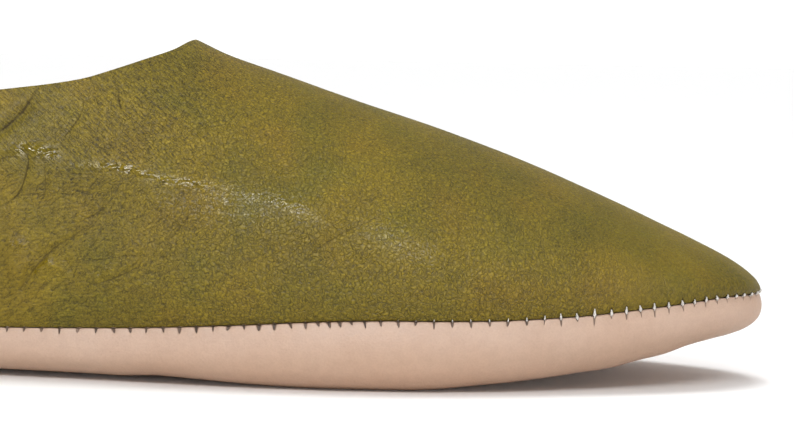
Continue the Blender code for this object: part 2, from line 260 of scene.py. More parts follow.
class Ribs:
    """Ribs that start at the seam and run in to the last's middle line, for turns from the toe along
    the outer side to the heel and back along the inner side. inward: their level directions. stitch:
    the running count of stitches there. other: the number of each one's twin across the shoe."""

    def __init__(self, half):
        self.turns = np.concatenate([half, 2 * math.pi - half[-2:0:-1]])
        self.seam = seam_points(self.turns)
        self.spine_x = drawn_in(self.seam[:, 0])
        self.spine = np.stack([self.spine_x, BALL_WIDTH * section("swing", self.spine_x)], axis=1)
        self.inward = unit(self.spine - self.seam[:, :2])
        self.is_vamp = self.seam[:, 0] >= THROAT_X - WELD
        self.count = len(self.turns)
        self.arc = half_arc(self.turns)
        self.stitch = stitch_count_at(self.arc)
        self.nearest = np.clip(np.round(self.stitch).astype(int), 0, STITCH_COUNT)
        self.is_inner = (self.turns > math.pi).astype(int)
        self.other = -np.arange(self.count) % self.count

    def stitching(self, column, kind=0, spread=0.0):
        """A column of the stitch table at each rib, varied by chance from stitch to stitch."""
        values = smooth(STITCHES["station"], STITCHES[column], self.arc / HALF_SEAM)
        return values * (1 + spread * chance[kind, self.is_inner, self.nearest])

    def level(self, lengths):
        """The ribs' directions inwards, times a length or one for each, as level vectors."""
        moved = self.inward * np.reshape(lengths, (-1, 1))
        return np.column_stack([moved, np.zeros(self.count)])


def curves(controls, shares):
    """Points on cubic curves with four control points each, at the shares of each curve."""
    t = shares[..., None]
    weights = ((1 - t) ** 3, 3 * t * (1 - t) ** 2, 3 * t**2 * (1 - t), t**3)
    return sum(weight * control[:, None, :] for weight, control in zip(weights, controls))


def inward_normals(outside, ribs, joined, sign):
    """Normals that point into the shoe: across the ribs, times along them. Ribs that end in one point
    get the mean there, and the rib at each tip, whose neighbours meet, its own level direction."""
    around = np.roll(outside, -1, axis=0) - np.roll(outside, 1, axis=0)
    level = np.column_stack([-ribs.inward[:, 1], ribs.inward[:, 0], np.zeros(ribs.count)])
    lost = np.linalg.norm(around, axis=-1, keepdims=True) < WELD
    along = sign * np.gradient(outside, axis=1)
    normals = unit(np.cross(np.where(lost, level[:, None, :], around), along))
    ends = normals[:, -1]
    normals[:, -1] = np.where(joined[:, None], unit(ends + ends[ribs.other]), ends)
    return normals


def ramp(value, start, end):
    """0 up to the start, 1 from the end on and a straight rise between; the end may come first."""
    return np.clip((value - start) / (end - start), 0, 1)


def lump(distance, reach):
    """A bell: 1 at no distance, falling to nought within about twice the reach."""
    return np.exp(-((distance / reach) ** 2))


def seeded_waves(x, y, z, seed, size, count=14):
    """Smooth noise about -1 to 1: the mean of sine waves in random directions, about size long."""
    random = np.random.default_rng(seed)
    total = np.zeros(np.broadcast(x, y, z).shape)
    for _ in range(count):
        direction = unit(random.normal(size=3))
        length = size * random.uniform(0.6, 1.7)
        phase = random.uniform(0, 2 * math.pi)
        along = x * direction[0] + y * direction[1] + z * direction[2]
        total += np.sin(2 * math.pi * along / length + phase)
    return total / math.sqrt(count)


def placed(mesh, finish):
    """An object of the mesh, smooth and in that finish."""
    mesh.shade_smooth()
    mesh.materials.append(finish)
    piece = bpy.data.objects.new(mesh.name, mesh)
    bpy.context.scene.collection.objects.link(piece)
    return piece


def closed_piece(name, rings, skipped, attributes, finish):
    """A mesh object from one closed ring of points per rib: a face joins each ring's side to the next
    ring's, apart from the skipped ones, and doubled points are merged. Each attribute is a number
    per point that the material reads."""
    ribs, sides = rings.shape[:2]
    index = np.arange(ribs * sides).reshape(ribs, sides)
    onward = np.roll(index, -1, axis=1)
    quads = np.stack([index, np.roll(index, -1, axis=0), np.roll(onward, -1, axis=0), onward], axis=-1)
    quads = quads[~skipped]
    mesh = bpy.data.meshes.new(name)
    mesh.from_pydata(rings.reshape(-1, 3), [], quads.tolist())
    for label, values in attributes.items():
        layer = mesh.attributes.new(label, "FLOAT", "POINT")
        layer.data.foreach_set("value", np.ascontiguousarray(values, np.float32).ravel())
    shape = bmesh.new()
    shape.from_mesh(mesh)
    loose = [v for v in shape.verts if not v.link_faces]
    bmesh.ops.delete(shape, geom=loose, context="VERTS")
    bmesh.ops.remove_doubles(shape, verts=shape.verts, dist=WELD)
    bmesh.ops.recalc_face_normals(shape, faces=shape.faces)
    shape.to_mesh(mesh)
    shape.free()
    return placed(mesh, finish)


def colour(code):
    """An sRGB hex colour as linear red, green, blue and full alpha, or a number as that grey."""
    if not isinstance(code, str):
        return (code, code, code, 1)
    parts = [int(code[i : i + 2], 16) / 255 for i in (1, 3, 5)]
    return (*[c / 12.92 if c <= 0.04045 else ((c + 0.055) / 1.055) ** 2.4 for c in parts], 1)


def feed(tree, socket, value):
    """Gives a socket another node's output, a number or a hex colour."""
    if isinstance(value, bpy.types.NodeSocket):
        tree.links.new(value, socket)
    else:
        socket.default_value = colour(value) if isinstance(value, str) else value


def add(tree, kind, *inputs, stops=(), output=0, **settings):
    """A node with its settings and links, of which one output is given back. kind: of shader node, or
    in capitals the operation of a Math node. Inputs come in order or by name, each a socket, a number
    or a hex colour. stops: (place, colour) of a ramp."""
    if kind.isupper():
        kind, settings["operation"] = "Math", kind
    node = tree.nodes.new("ShaderNode" + kind)
    named = {label: settings.pop(label) for label in list(settings) if label in node.inputs}
    for label, value in settings.items():
        setattr(node, label, value)
    for _ in stops[2:]:
        node.color_ramp.elements.new(0.5)
    for (place, shade), element in zip(stops, node.color_ramp.elements if stops else ()):
        element.position = place
        element.color = colour(shade)
    for socket, value in zip([socket for socket in node.inputs if socket.enabled], inputs):
        feed(tree, socket, value)
    for label, value in named.items():
        feed(tree, node.inputs[label], value)
    return [socket for socket in node.outputs if socket.enabled][output]


def new_finish(name):
    """An empty material, what adds a node to it, and the points that its patterns read, in mm."""
    finish = bpy.data.materials.new(name)
    finish.use_nodes = True
    node = functools.partial(add, finish.node_tree)
    place = node("TexCoord", output=3)
    return finish, node, node("Mapping", place, Scale=(1 / MM, 1 / MM, 1 / MM))


def surfaced(finish, inputs, relief=None, step=MM, strength=1.0):
    """The material with its shader's inputs, by name. relief: a height counted in steps, each so many
    metres high."""
    tree = finish.node_tree
    if relief:
        bump = add(tree, "Bump", Strength=strength, Distance=step, Height=relief)
        inputs = inputs | {"Normal": bump}
    for label, value in inputs.items():
        feed(tree, tree.nodes["Principled BSDF"].inputs[label], value)
    return finish


def beside_stitch(node, slope):
    """How far to the side of the nearest stitch a place is, in mm, and on a line that leans by the
    slope, a socket of mm towards the toe: from the running count of stitches and their pitch."""
    count = node("Attribute", attribute_name="stitch", output=2)
    pitch = node("Attribute", attribute_name="pitch", output=2)
    part = node("FRACT", node("ADD", count, 0.5))
    beside = node("MULTIPLY", node("SUBTRACT", part, 0.5), pitch)
    return node("ABSOLUTE", node("ADD", beside, slope))


# Colour of the sole's leather from the seam (0) down its band and under (1, so many mm along). Its
# edge is pared over PARED mm. Its inner face counts as INSIDE_DOWN mm down, past the slits.
SOLE_FALL_LENGTH = 20
SOLE_FALL = ((0.0, "#C3A692"), (0.20, "#C3A692"), (0.42, "#BC9E88"), (0.66, "#C1A089"), (1.0, "#BE9B83"))
SOLE_RUBBED = "#B7947B"
# Painted shade, low on the band at the toe
SOLE_TOE_SHADE = "#9C806C"
# Painted shade in the slit below each stitch
SLIT_SHADE = "#3A2416"
PARED = 14
SOLE_RIBS = 720
SOLE_SWELL_STEPS = 20
SOLE_UNDER_STEPS = 8
SOLE_INNER_STEPS = 5
LIP_ROUND = 0.15 * MM
SEAM_SLIT = 0.01 * MM
PULL_DEPTH = 0.22 * MM
BAND_WAVE = 0.14 * MM
TOE_SHADE_SHARE = 0.42
INSIDE_DOWN = 30.0


def natural_leather():
    """Undyed vegetable-tanned cowhide, flat and matt: pale pink where it is drawn up, browner where
    it rolls under and was rubbed in making, with painted shade low at the toe, fine pores, and a
    slit below each stitch darkened with painted shade."""
    finish, node, mm = new_finish("natural_vegetable_tanned_leather")
    down, lean, slit, wide, dark, toe_shade = (
        node("Attribute", attribute_name=label, output=2)
        for label in ("down", "lean", "slit", "open", "dark", "toe_shade")
    )
    patch = node("TexNoise", mm, Scale=0.05, Detail=4.0)
    cloud = node("TexNoise", mm, Scale=0.5, Detail=4.0)
    pores = node("TexVoronoi", mm, Scale=1.9)
    fine = node("TexNoise", mm, Scale=2.6, Detail=3.0)
    # colour from the seam down, rubbed browner in patches, painted shade low at the toe, with clouds
    far = node("DIVIDE", down, SOLE_FALL_LENGTH)
    tone = node("ValToRGB", far, stops=SOLE_FALL)
    rubbed = node("ValToRGB", patch, stops=((0.35, 0.0), (0.70, 0.45)))
    tone = node("Mix", rubbed, tone, SOLE_RUBBED, data_type="RGBA")
    tone = node("Mix", toe_shade, tone, SOLE_TOE_SHADE, data_type="RGBA")
    for pattern, deepest in ((cloud, 0.955), (fine, 0.95)):
        shade = node("ValToRGB", pattern, stops=((0.35, deepest), (0.62, 1.0)))
        tone = node("Mix", 1.0, tone, shade, data_type="RGBA", blend_type="MULTIPLY")
    # the slit, darkened with painted shade: widest at the edge, drawn to a point below
    side = beside_stitch(node, node("MULTIPLY", lean, down))
    left = node("DIVIDE", down, slit)
    left = node("SUBTRACT", 1.15, left, use_clamp=True)
    width = node("MULTIPLY", node("POWER", left, 0.6), wide)
    width = node("ADD", width, 0.02)
    within = node("SUBTRACT", 1.5, node("DIVIDE", side, width), use_clamp=True)
    cut = node("MULTIPLY", within, node("MULTIPLY", left, 4.0, use_clamp=True))
    tone = node("Mix", node("MULTIPLY", cut, dark), tone, SLIT_SHADE, data_type="RGBA")
    edge = node("ValToRGB", down, stops=((0.0, 0.90), (0.12, 1.0)))
    tone = node("Mix", 1.0, tone, edge, data_type="RGBA", blend_type="MULTIPLY")
    matt = node("ValToRGB", cloud, stops=((0.3, 0.50), (0.7, 0.62)))
    # relief, in mm
    relief = node("MULTIPLY", fine, 0.05)
    for pattern, height in ((pores, 0.05), (cloud, 0.10), (cut, -0.25)):
        relief = node("MULTIPLY_ADD", pattern, height, relief)
    return surfaced(finish, {"Base Color": tone, "Roughness": matt, "Specular IOR Level": 0.35}, relief)


def rounded_lip(height, radius):
    """How far a leather's edge is rounded in, at a height above its end: a quarter circle."""
    share = np.clip(1 - height / radius, 0, 1)
    return radius * (1 - np.sqrt(1 - share**2))


def stitch_sway(ribs):
    """What chance adds to each stitch's lean, the same in the sole's slit and in the thread."""
    return 0.10 * chance[2, ribs.is_inner, ribs.nearest]


def stitch_pull(ribs, distance, reach):
    """How much a stitch draws the leather in, 0 to 1: a bell round each stitch, 0.75 mm to its sides,
    that fades with the distance from the seam in mm over the reach."""
    off = abs(ribs.stitch - np.round(ribs.stitch)) * ribs.stitching("pitch")
    return lump(off, 0.75)[:, None] * np.exp(-np.maximum(distance, 0) / reach)


def sole_outside(ribs, swell_shares, under_steps):
    """Outer face of the sole: each rib swells out below the seam, turns under along a cubic curve and
    runs level across to the middle line, following the underside's height."""
    start = ribs.seam - [0, 0, SEAM_SLIT]
    band = BAND_HEIGHT * section("band", ribs.seam[:, 0])
    turned = start + ribs.level(SOLE_ROLL)
    turned[:, 2] = underside(turned[:, 0])
    first = start + ribs.level(-SWELL_REACH * band) - np.outer(SWELL_DEPTH * band, [0, 0, 1])
    second = turned + ribs.level(-SOLE_ROLL * UNDER_FULLNESS)
    steepness = (underside(turned[:, 0] + WELD) - underside(turned[:, 0] - WELD)) / (2 * WELD)
    second[:, 2] = turned[:, 2] + steepness * (second - turned)[:, 0]
    shares = np.broadcast_to(swell_shares, (ribs.count, len(swell_shares)))
    swell = curves(np.stack([start, first, second, turned]), shares)
    share = np.linspace(0, 1, under_steps + 1)[None, 1:, None]
    across = turned[:, None, :2] * (1 - share) + ribs.spine[:, None, :] * share
    under = np.concatenate([across, underside(across[..., :1])], axis=2)
    return np.concatenate([swell, under], axis=1)


def run_along(points):
    """Distance from each rib's start to each of its points, in mm."""
    steps = np.linalg.norm(np.diff(points, axis=1), axis=2)
    return np.concatenate([np.zeros((len(points), 1)), np.cumsum(steps, axis=1)], axis=1) / MM


def along_ribs(ribs, labels, like):
    """Numbers that are the same all along a rib, for every point of it."""
    every = {"stitch": ribs.stitch, "pitch": ribs.stitching("pitch")} | labels
    return {name: np.broadcast_to(values[:, None], like.shape[:2]) for name, values in every.items()}


sole_ribs = Ribs(spaced_turns(0, math.pi, SOLE_RIBS, lambda x: 1 + 0.3 * (x > -0.05)))
outline = sole_outside(sole_ribs, np.linspace(0, 1, 25), 2).reshape(-1, 3)
low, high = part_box("outsole")
SHIFT = np.array([low.x + high.x, low.y + high.y, 0]) / 2
SHIFT -= (outline.max(axis=0) + outline.min(axis=0)) / 2 * [1, 1, 0]


def make_sole(ribs):
    """The turned-up sole, a tray with a thin rounded edge: outer face pulled in at the stitches, with
    the band's waves and the hollow behind the ball, and the inner face a leather's thickness within."""
    shares = np.linspace(0, 1, SOLE_SWELL_STEPS + 1) ** 1.8
    outside = sole_outside(ribs, shares, SOLE_UNDER_STEPS)
    normals = inward_normals(outside, ribs, np.ones(ribs.count, bool), -1)
    down = run_along(outside)
    x, y, z = np.moveaxis(outside, 2, 0)
    wave = seeded_waves(x, y, z, 5, 0.030) * ramp(down, 0, 4) * ramp(down, 17, 12)
    depth = PULL_DEPTH * stitch_pull(ribs, down, 1.1) + BAND_WAVE * wave
    depth += rounded_lip(down * MM, LIP_ROUND)
    outside = outside + normals * depth[..., None]
    raised = MM * smooth(HOLLOWS["place"], HOLLOWS["rise"], (x + SHIFT[0]) / MM) * ramp(y / MM, 0, -15)
    outside[..., 2] += raised * ramp(down, 5, 13)
    thickness = RIM_LEATHER + (SOLE_LEATHER - RIM_LEATHER) * ramp(down, 0, PARED)
    picks = np.unique(np.linspace(0, outside.shape[1] - 1, SOLE_INNER_STEPS + 1).round().astype(int))
    inside = (outside + normals * thickness[..., None])[:, picks]
    inside[:, 0] = outside[:, 0] + ribs.level(RIM_LEATHER)
    rings = np.concatenate([outside, inside[:, ::-1]], axis=1) + SHIFT
    skipped = np.zeros(rings.shape[:2], bool)
    skipped[:, outside.shape[1] - 1] = True
    labels = along_ribs(ribs, {
        "slit": ribs.stitching("slit", 0, 0.18),
        "open": ribs.stitching("open", 1, 0.22),
        "lean": ribs.stitching("lean") + stitch_sway(ribs),
        "dark": ribs.stitching("dark", 3, 0.08),
    }, rings)
    labels["down"] = np.concatenate([down, np.full((ribs.count, len(picks)), INSIDE_DOWN)], axis=1)
    # painted shade low on the band towards the toe
    labels["toe_shade"] = TOE_SHADE_SHARE * ramp(rings[..., 0] / MM, 58, 108) * ramp(labels["down"], 2.5, 7.5)
    piece = closed_piece("turned_sole", rings, skipped, labels, natural_leather())
    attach(piece, "root")
    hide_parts("outsole")
    return piece


make_sole(sole_ribs)


# The sock. A thin insole of sheepskin skived at its edge and pasted over the sole inside.

INSOLE_THICKNESS = 0.0030
INSOLE_EASE = 0.0010
GAP = 0.0003
NAP_HEIGHT = 0.2 * MM
SOCK_RIBS = 180
SOCK_STEPS = 30
SOCK_DIP = 0.12 * MM
SOCK_EDGE = (0.0, 0.28, 0.5, 0.72, 1.0)


def sock_leather():
    """Sheepskin with a matt, slightly napped face: warm beige, shaded where feet and glue mark it."""
    finish, node, mm = new_finish("sheepskin_sock_leather")
    cloud = node("TexNoise", mm, Scale=0.08, Detail=6.0)
    nap = node("TexNoise", mm, Scale=1.8, Detail=4.0)
    tone = node("ValToRGB", cloud, stops=((0.3, "#B79772"), (0.7, "#CFB28E")))
    fine = node("ValToRGB", nap, stops=((0.3, 0.9), (0.7, 1.0)))
    tone = node("Mix", 1.0, tone, fine, data_type="RGBA", blend_type="MULTIPLY")
    return surfaced(finish, {"Base Color": tone, "Roughness": 0.72}, nap, NAP_HEIGHT, strength=0.4)


def make_sock(ribs):
    """A thin closed pad on the sole's leather: level rows across, and an edge rounded like a D."""
    floor = SOLE_LEATHER + GAP
    foot = SOLE_ROLL + INSOLE_EASE
    brow = SOLE_ROLL - INSOLE_EASE
    edge = []
    for share in SOCK_EDGE:
        bulge = math.sin(math.pi * share)
        points = ribs.seam + ribs.level(foot + (brow - foot) * bulge)
        points[:, 2] = underside(points[:, 0]) + floor + INSOLE_THICKNESS * share
        edge.append(points)
    lower = np.linspace(1, 0, SOCK_STEPS + 1)[None, :-1, None]
    upper = lower[:, ::-1]
    bottom = edge[0][:, None, :2] * (1 - lower) + ribs.spine[:, None, :] * lower
    top = edge[-1][:, None, :2] * (1 - upper) + ribs.spine[:, None, :] * upper
    bottom = np.concatenate([bottom, underside(bottom[..., :1]) + floor], axis=2)
    dip = SOCK_DIP * seeded_waves(top[..., 0], top[..., 1], 0, 11, 0.035)
    height = underside(top[..., 0]) + floor + INSOLE_THICKNESS
    height = height + dip * np.sin(math.pi * upper[..., 0] / 2)
    top = np.concatenate([top, height[..., None]], axis=2)
    top[:, -1, 2] = (top[:, -1, 2] + top[ribs.other, -1, 2]) / 2
    rings = np.concatenate([bottom, np.stack(edge, axis=1), top], axis=1) + SHIFT
    skipped = np.zeros(rings.shape[:2], bool)
    skipped[:, -1] = True
    piece = closed_piece("sock", rings, skipped, {}, sock_leather())
    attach(piece, "root")
    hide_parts("insole")
    return piece


make_sock(Ribs(spaced_turns(0, math.pi, SOCK_RIBS, lambda x: 1 + 0 * x)))


# The upper. One skin of goat, tanned with bark, dyed olive, waxed and glazed: it is drawn over the
# last without a toe seam, joined at the back of the heel, and left to wrinkle over the empty inside.

THROAT_HEIGHT = 0.0716
BACK_HEIGHT = 0.053
CROWN_RISE = 0.022
UPPER_WALL = 0.0015
SIDE_FULLNESS = 0.46
TOP_FULLNESS = 0.41
TOPLINE_TRIALS = 600
VAMP_RIBS = 190
QUARTER_RIBS = 180
UPPER_STEPS = 104
UPPER_INNER_STEPS = 14
EDGE_POINTS = 5
EDGE_BULGE = 0.5
HIDE = 0.55
UPPER_LIP = 0.12 * MM
TOE_FULLER = 0.55 * MM
JOIN_RIDGE = 0.30 * MM
UPPER_PULL = 0.20 * MM
# Waves of the slack leather: depth, seed and length
SLACK_WAVES = ((0.28 * MM, 21, 0.034), (0.09 * MM, 22, 0.013))

# Ridge of the vamp from the toe to the throat. reach: share of THROAT_REACH from the toe. height:
# share of the way up from the seam at the toe to THROAT_HEIGHT.
RIDGE_COLUMNS = ("reach", "height")
RIDGE_ROWS = (
    (0.00, 0.100),
    (0.13, 0.226),
    (0.25, 0.354),
    (0.40, 0.505),
    (0.55, 0.634),
    (0.70, 0.748),
    (0.85, 0.866),
    (0.95, 0.946),
    (1.00, 1.000),
)

# Behind the throat. depth: share of the way from the throat to the back of the seam. topline: share
# of the way up from BACK_HEIGHT to THROAT_HEIGHT. crown: how far the last's own top, which the
# opening leaves uncovered, lies above THROAT_HEIGHT, over CROWN_RISE.
OPENING_COLUMNS = ("depth", "topline", "crown")
OPENING_ROWS = (
    (0.000, 1.000, 0.00),
    (0.016, 0.893, 0.04),
    (0.050, 0.785, 0.12),
    (0.100, 0.648, 0.22),
    (0.150, 0.532, 0.31),
    (0.200, 0.466, 0.39),
    (0.300, 0.372, 0.50),
    (0.500, 0.185, 0.64),
    (0.700, 0.080, 0.78),
    (0.850, 0.018, 0.90),
    (1.000, 0.000, 1.00),
)

RIDGE = table(RIDGE_COLUMNS, RIDGE_ROWS)
OPENING = table(OPENING_COLUMNS, OPENING_ROWS)


def depth_behind(x):
    """Share of the way from the throat back to the end of the seam."""
    return np.clip((THROAT_X - x) / (THROAT_X + SEAM_LENGTH / 2), 0, 1)


def topline(x):
    """Height of the opening's edge behind the throat."""
    share = smooth(OPENING["depth"], OPENING["topline"], depth_behind(x))
    return BACK_HEIGHT + (THROAT_HEIGHT - BACK_HEIGHT) * share


def crest(x):
    """Height of the last's top: the vamp's ridge, and behind the throat the crown."""
    reach = np.clip((SEAM_LENGTH / 2 - x) / THROAT_REACH, 0, 1)
    toe = seam_height(SEAM_LENGTH / 2)
    ridge = toe + (THROAT_HEIGHT - toe) * smooth(RIDGE["reach"], RIDGE["height"], reach)
    return ridge + CROWN_RISE * smooth(OPENING["depth"], OPENING["crown"], depth_behind(x))


def arches(ribs):
    """Control points of the last's ribs: each leaves the seam upwards with its flare and reaches the
    crest level. Its handles are shares of the way to the corner where its two end lines meet."""
    start = ribs.seam + [0, 0, SEAM_SLIT]
    end = np.column_stack([ribs.spine, crest(ribs.spine_x)])
    flare = np.radians(section("flare", ribs.seam[:, 0]))
    out_up = ribs.level(-np.sin(flare)) + np.outer(np.cos(flare), [0, 0, 1])
    steepness = (crest(ribs.spine_x + WELD) - crest(ribs.spine_x - WELD)) / (2 * WELD)
    in_up = unit(ribs.level(1) + np.outer(steepness * ribs.inward[:, 0], [0, 0, 1]))
    rise = (end - start)[:, 2]
    run = np.sum((end - start)[:, :2] * ribs.inward, axis=1)
    level_part = np.linalg.norm(in_up[:, :2], axis=1)
    corner = level_part * np.cos(flare) + in_up[:, 2] * np.sin(flare)
    side = (rise * level_part - run * in_up[:, 2]) / corner
    top = (run * np.cos(flare) + rise * np.sin(flare)) / corner
    first = start + out_up * (SIDE_FULLNESS * side)[:, None]
    second = end - in_up * (TOP_FULLNESS * top)[:, None]
    return np.stack([start, first, second, end])


def shares_to_topline(ribs, controls):
    """Share of each rib where it meets the topline: the first point as high as the edge is there."""
    trials = np.broadcast_to(np.linspace(0, 1, TOPLINE_TRIALS + 1), (ribs.count, TOPLINE_TRIALS + 1))
    points = curves(controls, trials)
    above = points[..., 2] - topline(points[..., 0])
    after = np.maximum(np.argmax(above >= 0, axis=1), 1)
    rows = np.arange(ribs.count)
    low_side, high_side = above[rows, after - 1], above[rows, after]
    share = (after - 1 + low_side / (low_side - high_side)) / TOPLINE_TRIALS
    return np.where(ribs.is_vamp, 1, share)


# Creases of the outer side, where the empty slipper folds behind the throat. Each is a line of
# points (x, height) in mm, with its width and depth in mm, the step that one side stands over the
# other, and how dark the painted shade at its bottom is. A ridge has a depth below nought.
OUTER_CREASES = (
    (((-25.9, 61.2), (-28.4, 56.9), (-31.1, 53.7), (-34.5, 50.6), (-38.0, 48.5)), 1.1, 0.60, 0.50, 1.0),
    (((-15.9, 58.8), (-16.4, 55.5), (-19.0, 51.1), (-19.3, 49.2)), 0.7, 0.22, 0.15, 0.72),
    (((-9.2, 61.2), (-8.6, 58.6), (-7.6, 56.2)), 0.7, 0.22, 0.12, 0.80),
    (((-30.1, 49.2), (-28.3, 47.8), (-26.8, 46.8), (-26.3, 45.3), (-26.5, 43.4), (-27.2, 40.7),
      (-28.3, 38.5), (-30.1, 36.9), (-31.8, 35.8)), 0.7, 0.34, 0.14, 0.90),
    (((-22.7, 45.4), (-22.3, 39.9), (-23.4, 36.6)), 0.7, 0.18, 0.10, 0.55),
    (((-9.2, 38.4), (-10.5, 35.7), (-13.4, 34.0), (-16.2, 32.2), (-19.0, 30.9)), 0.7, 0.26, 0.14, 0.60),
    (((-11.0, 34.6), (-14.2, 31.5), (-17.6, 29.3), (-19.9, 27.6), (-22.2, 25.4), (-24.9, 22.1),
      (-27.4, 17.0)), 0.9, 0.42, 0.26, 0.70),
    (((-19.8, 25.2), (-23.8, 22.4)), 1.5, -0.42, 0.0, 0.0),
    (((-18.6, 26.4), (-16.8, 25.0), (-15.3, 22.3), (-15.9, 19.6)), 0.7, 0.22, 0.10, 0.42),
    (((-21.0, 21.6), (-22.7, 19.1), (-24.8, 16.4)), 0.7, 0.20, 0.08, 0.42),
    (((-24.4, 24.6), (-26.2, 20.8), (-27.6, 17.6)), 0.7, 0.20, 0.10, 0.50),
    (((-11.4, 20.4), (-7.4, 21.6), (-4.4, 23.0), (-0.8, 24.6)), 0.6, 0.24, 0.12, 0.75),
    (((-9.6, 19.0), (-5.7, 20.4), (-3.1, 22.0)), 0.6, 0.14, 0.06, 0.40),
    (((-13.6, 25.3), (-8.4, 25.9), (-3.6, 26.7), (2.0, 27.2)), 0.5, 0.14, 0.05, 0.50),
    (((-1.8, 26.7), (5.8, 26.9), (12.4, 28.2)), 0.5, 0.10, 0.05, 0.30),
    (((-19.6, 42.6), (-16.0, 43.1), (-9.8, 43.0)), 0.5, 0.14, 0.06, 0.50),
    (((4.6, 34.0), (6.5, 30.3), (5.6, 25.0)), 0.7, 0.12, 0.08, 0.30),
    (((32.0, 25.8), (36.5, 29.8), (41.4, 32.8), (46.6, 35.2), (49.5, 36.3)), 0.8, 0.24, 0.14, 0.50),
    (((58.0, 23.6), (62.9, 26.9), (66.6, 29.2)), 0.7, 0.20, 0.10, 0.50),
    (((11.8, 37.6), (9.3, 36.0), (6.8, 32.8), (4.6, 29.8)), 0.7, 0.26, 0.14, 0.55),
    (((-36.0, 44.0), (-31.0, 46.2), (-28.0, 45.8)), 0.8, 0.30, 0.15, 0.55),
    (((-44.0, 33.0), (-39.0, 30.0), (-35.0, 25.0)), 1.2, 0.45, 0.20, 0.45),
    (((-52.0, 50.0), (-47.0, 42.0), (-45.0, 34.0)), 1.2, 0.50, 0.30, 0.55),
)

# Soft forms of the outer side, in the same way: the long swell under the throat that catches the
# light, the slack below it, and the rolls behind.
OUTER_FORMS = (
    (((-44.0, 46.6), (-26.0, 47.4), (-19.0, 44.9), (-12.0, 44.6), (0.1, 42.7), (17.0, 40.5),
      (38.2, 34.2), (62.9, 26.5)), 4.2, -0.50, 0.0, 0.0),
    (((-30.0, 38.0), (-12.0, 37.0), (6.0, 34.0), (24.0, 30.0)), 6.0, 0.45, 0.0, 0.0),
    (((-12.0, 56.0), (-22.0, 52.0), (-34.0, 58.0)), 5.0, 0.25, 0.0, 0.0),
    (((44.0, 37.0), (53.0, 33.0), (64.0, 27.0)), 4.0, -0.25, 0.0, 0.0),
    (((-31.0, 29.0), (-28.0, 26.0), (-29.0, 20.0)), 2.6, -0.45, 0.0, 0.0),
    (((-60.0, 50.0), (-52.0, 36.0), (-50.0, 20.0)), 5.0, 0.70, 0.3, 0.0),
    (((-78.0, 48.0), (-74.0, 34.0), (-66.0, 20.0)), 6.0, 0.60, 0.0, 0.0),
    (((-70.0, 46.0), (-58.0, 30.0), (-44.0, 20.0)), 3.0, -0.45, 0.0, 0.0),
)

# Creases and soft forms of the inner side, which the photograph doesn't show: fewer, and softer
INNER_CREASES = (
    (((-22.0, 61.0), (-27.0, 55.0), (-35.0, 50.0), (-44.0, 47.0)), 1.1, 0.55, 0.40, 0.85),
    (((-12.0, 60.0), (-13.0, 54.0), (-17.0, 49.0)), 0.8, 0.26, 0.15, 0.60),
    (((-30.0, 45.0), (-29.0, 38.0), (-33.0, 30.0), (-35.0, 24.0)), 0.9, 0.40, 0.20, 0.60),
    (((-6.0, 36.0), (-14.0, 31.0), (-20.0, 25.0), (-23.0, 18.0)), 0.9, 0.36, 0.20, 0.55),
    (((14.0, 38.0), (8.0, 33.0), (4.0, 28.0)), 0.8, 0.24, 0.12, 0.45),
    (((50.0, 36.0), (42.0, 31.0), (36.0, 27.0)), 0.8, 0.22, 0.12, 0.40),
    (((-54.0, 49.0), (-50.0, 40.0), (-52.0, 30.0)), 1.1, 0.45, 0.25, 0.50),
    (((-20.0, 43.0), (-8.0, 42.0), (2.0, 40.0)), 0.6, 0.16, 0.06, 0.40),
)
INNER_FORMS = (
    (((-44.0, 46.0), (-20.0, 46.0), (0.0, 43.0), (20.0, 39.0), (44.0, 33.0)), 5.0, -0.45, 0.0, 0.0),
    (((-34.0, 36.0), (-10.0, 35.0), (14.0, 31.0)), 6.0, 0.45, 0.0, 0.0),
    (((-58.0, 50.0), (-54.0, 36.0), (-56.0, 20.0)), 5.0, 0.60, 0.2, 0.0),
    (((-80.0, 47.0), (-74.0, 34.0), (-70.0, 22.0)), 6.0, 0.50, 0.0, 0.0),
)

# Where the glaze has broken into fine wrinkles that glint: lines, their reach in mm, and how much.
# The first lie on the outer side and the others on the inner.
OUTER_GLINTS = (
    (((-32.6, 46.0), (-29.3, 47.5), (-25.8, 47.9), (-22.7, 47.3), (-20.3, 46.5), (-18.8, 44.8)), 1.6, 1.0),
    (((-18.8, 44.8), (-13.4, 45.0), (-7.2, 44.6), (-3.7, 44.1), (2.0, 42.6), (8.6, 41.7),
      (20.0, 40.6)), 1.2, 1.0),
    (((8.0, 39.6), (14.1, 38.9), (23.4, 39.0), (30.0, 37.6), (38.2, 34.2)), 2.0, 0.75),
    (((-2.0, 40.4), (8.0, 37.0), (20.0, 35.8), (31.0, 36.0)), 2.4, 0.50),
    (((42.0, 33.6), (48.0, 33.0), (53.7, 30.0), (63.5, 26.5)), 3.0, 0.48),
    (((-19.6, 25.6), (-21.6, 24.2), (-24.6, 21.6)), 1.0, 1.0),
    (((-31.0, 26.6), (-28.0, 28.2), (-25.6, 28.2)), 1.3, 0.7),
    (((-30.0, 23.4), (-27.4, 24.0)), 1.0, 0.5),
    (((-11.0, 20.0), (-9.0, 22.6), (-6.4, 24.6)), 1.2, 0.7),
    (((-5.0, 20.6), (3.0, 21.0)), 1.4, 0.4),
)
INNER_GLINTS = (
    (((-34.0, 47.0), (-20.0, 46.0), (-4.0, 43.6), (14.0, 40.0)), 1.4, 0.9),
    (((8.0, 39.6), (26.0, 37.4), (40.0, 33.2)), 2.4, 0.6),
    (((-26.0, 28.0), (-22.0, 24.0)), 1.2, 0.7),
)


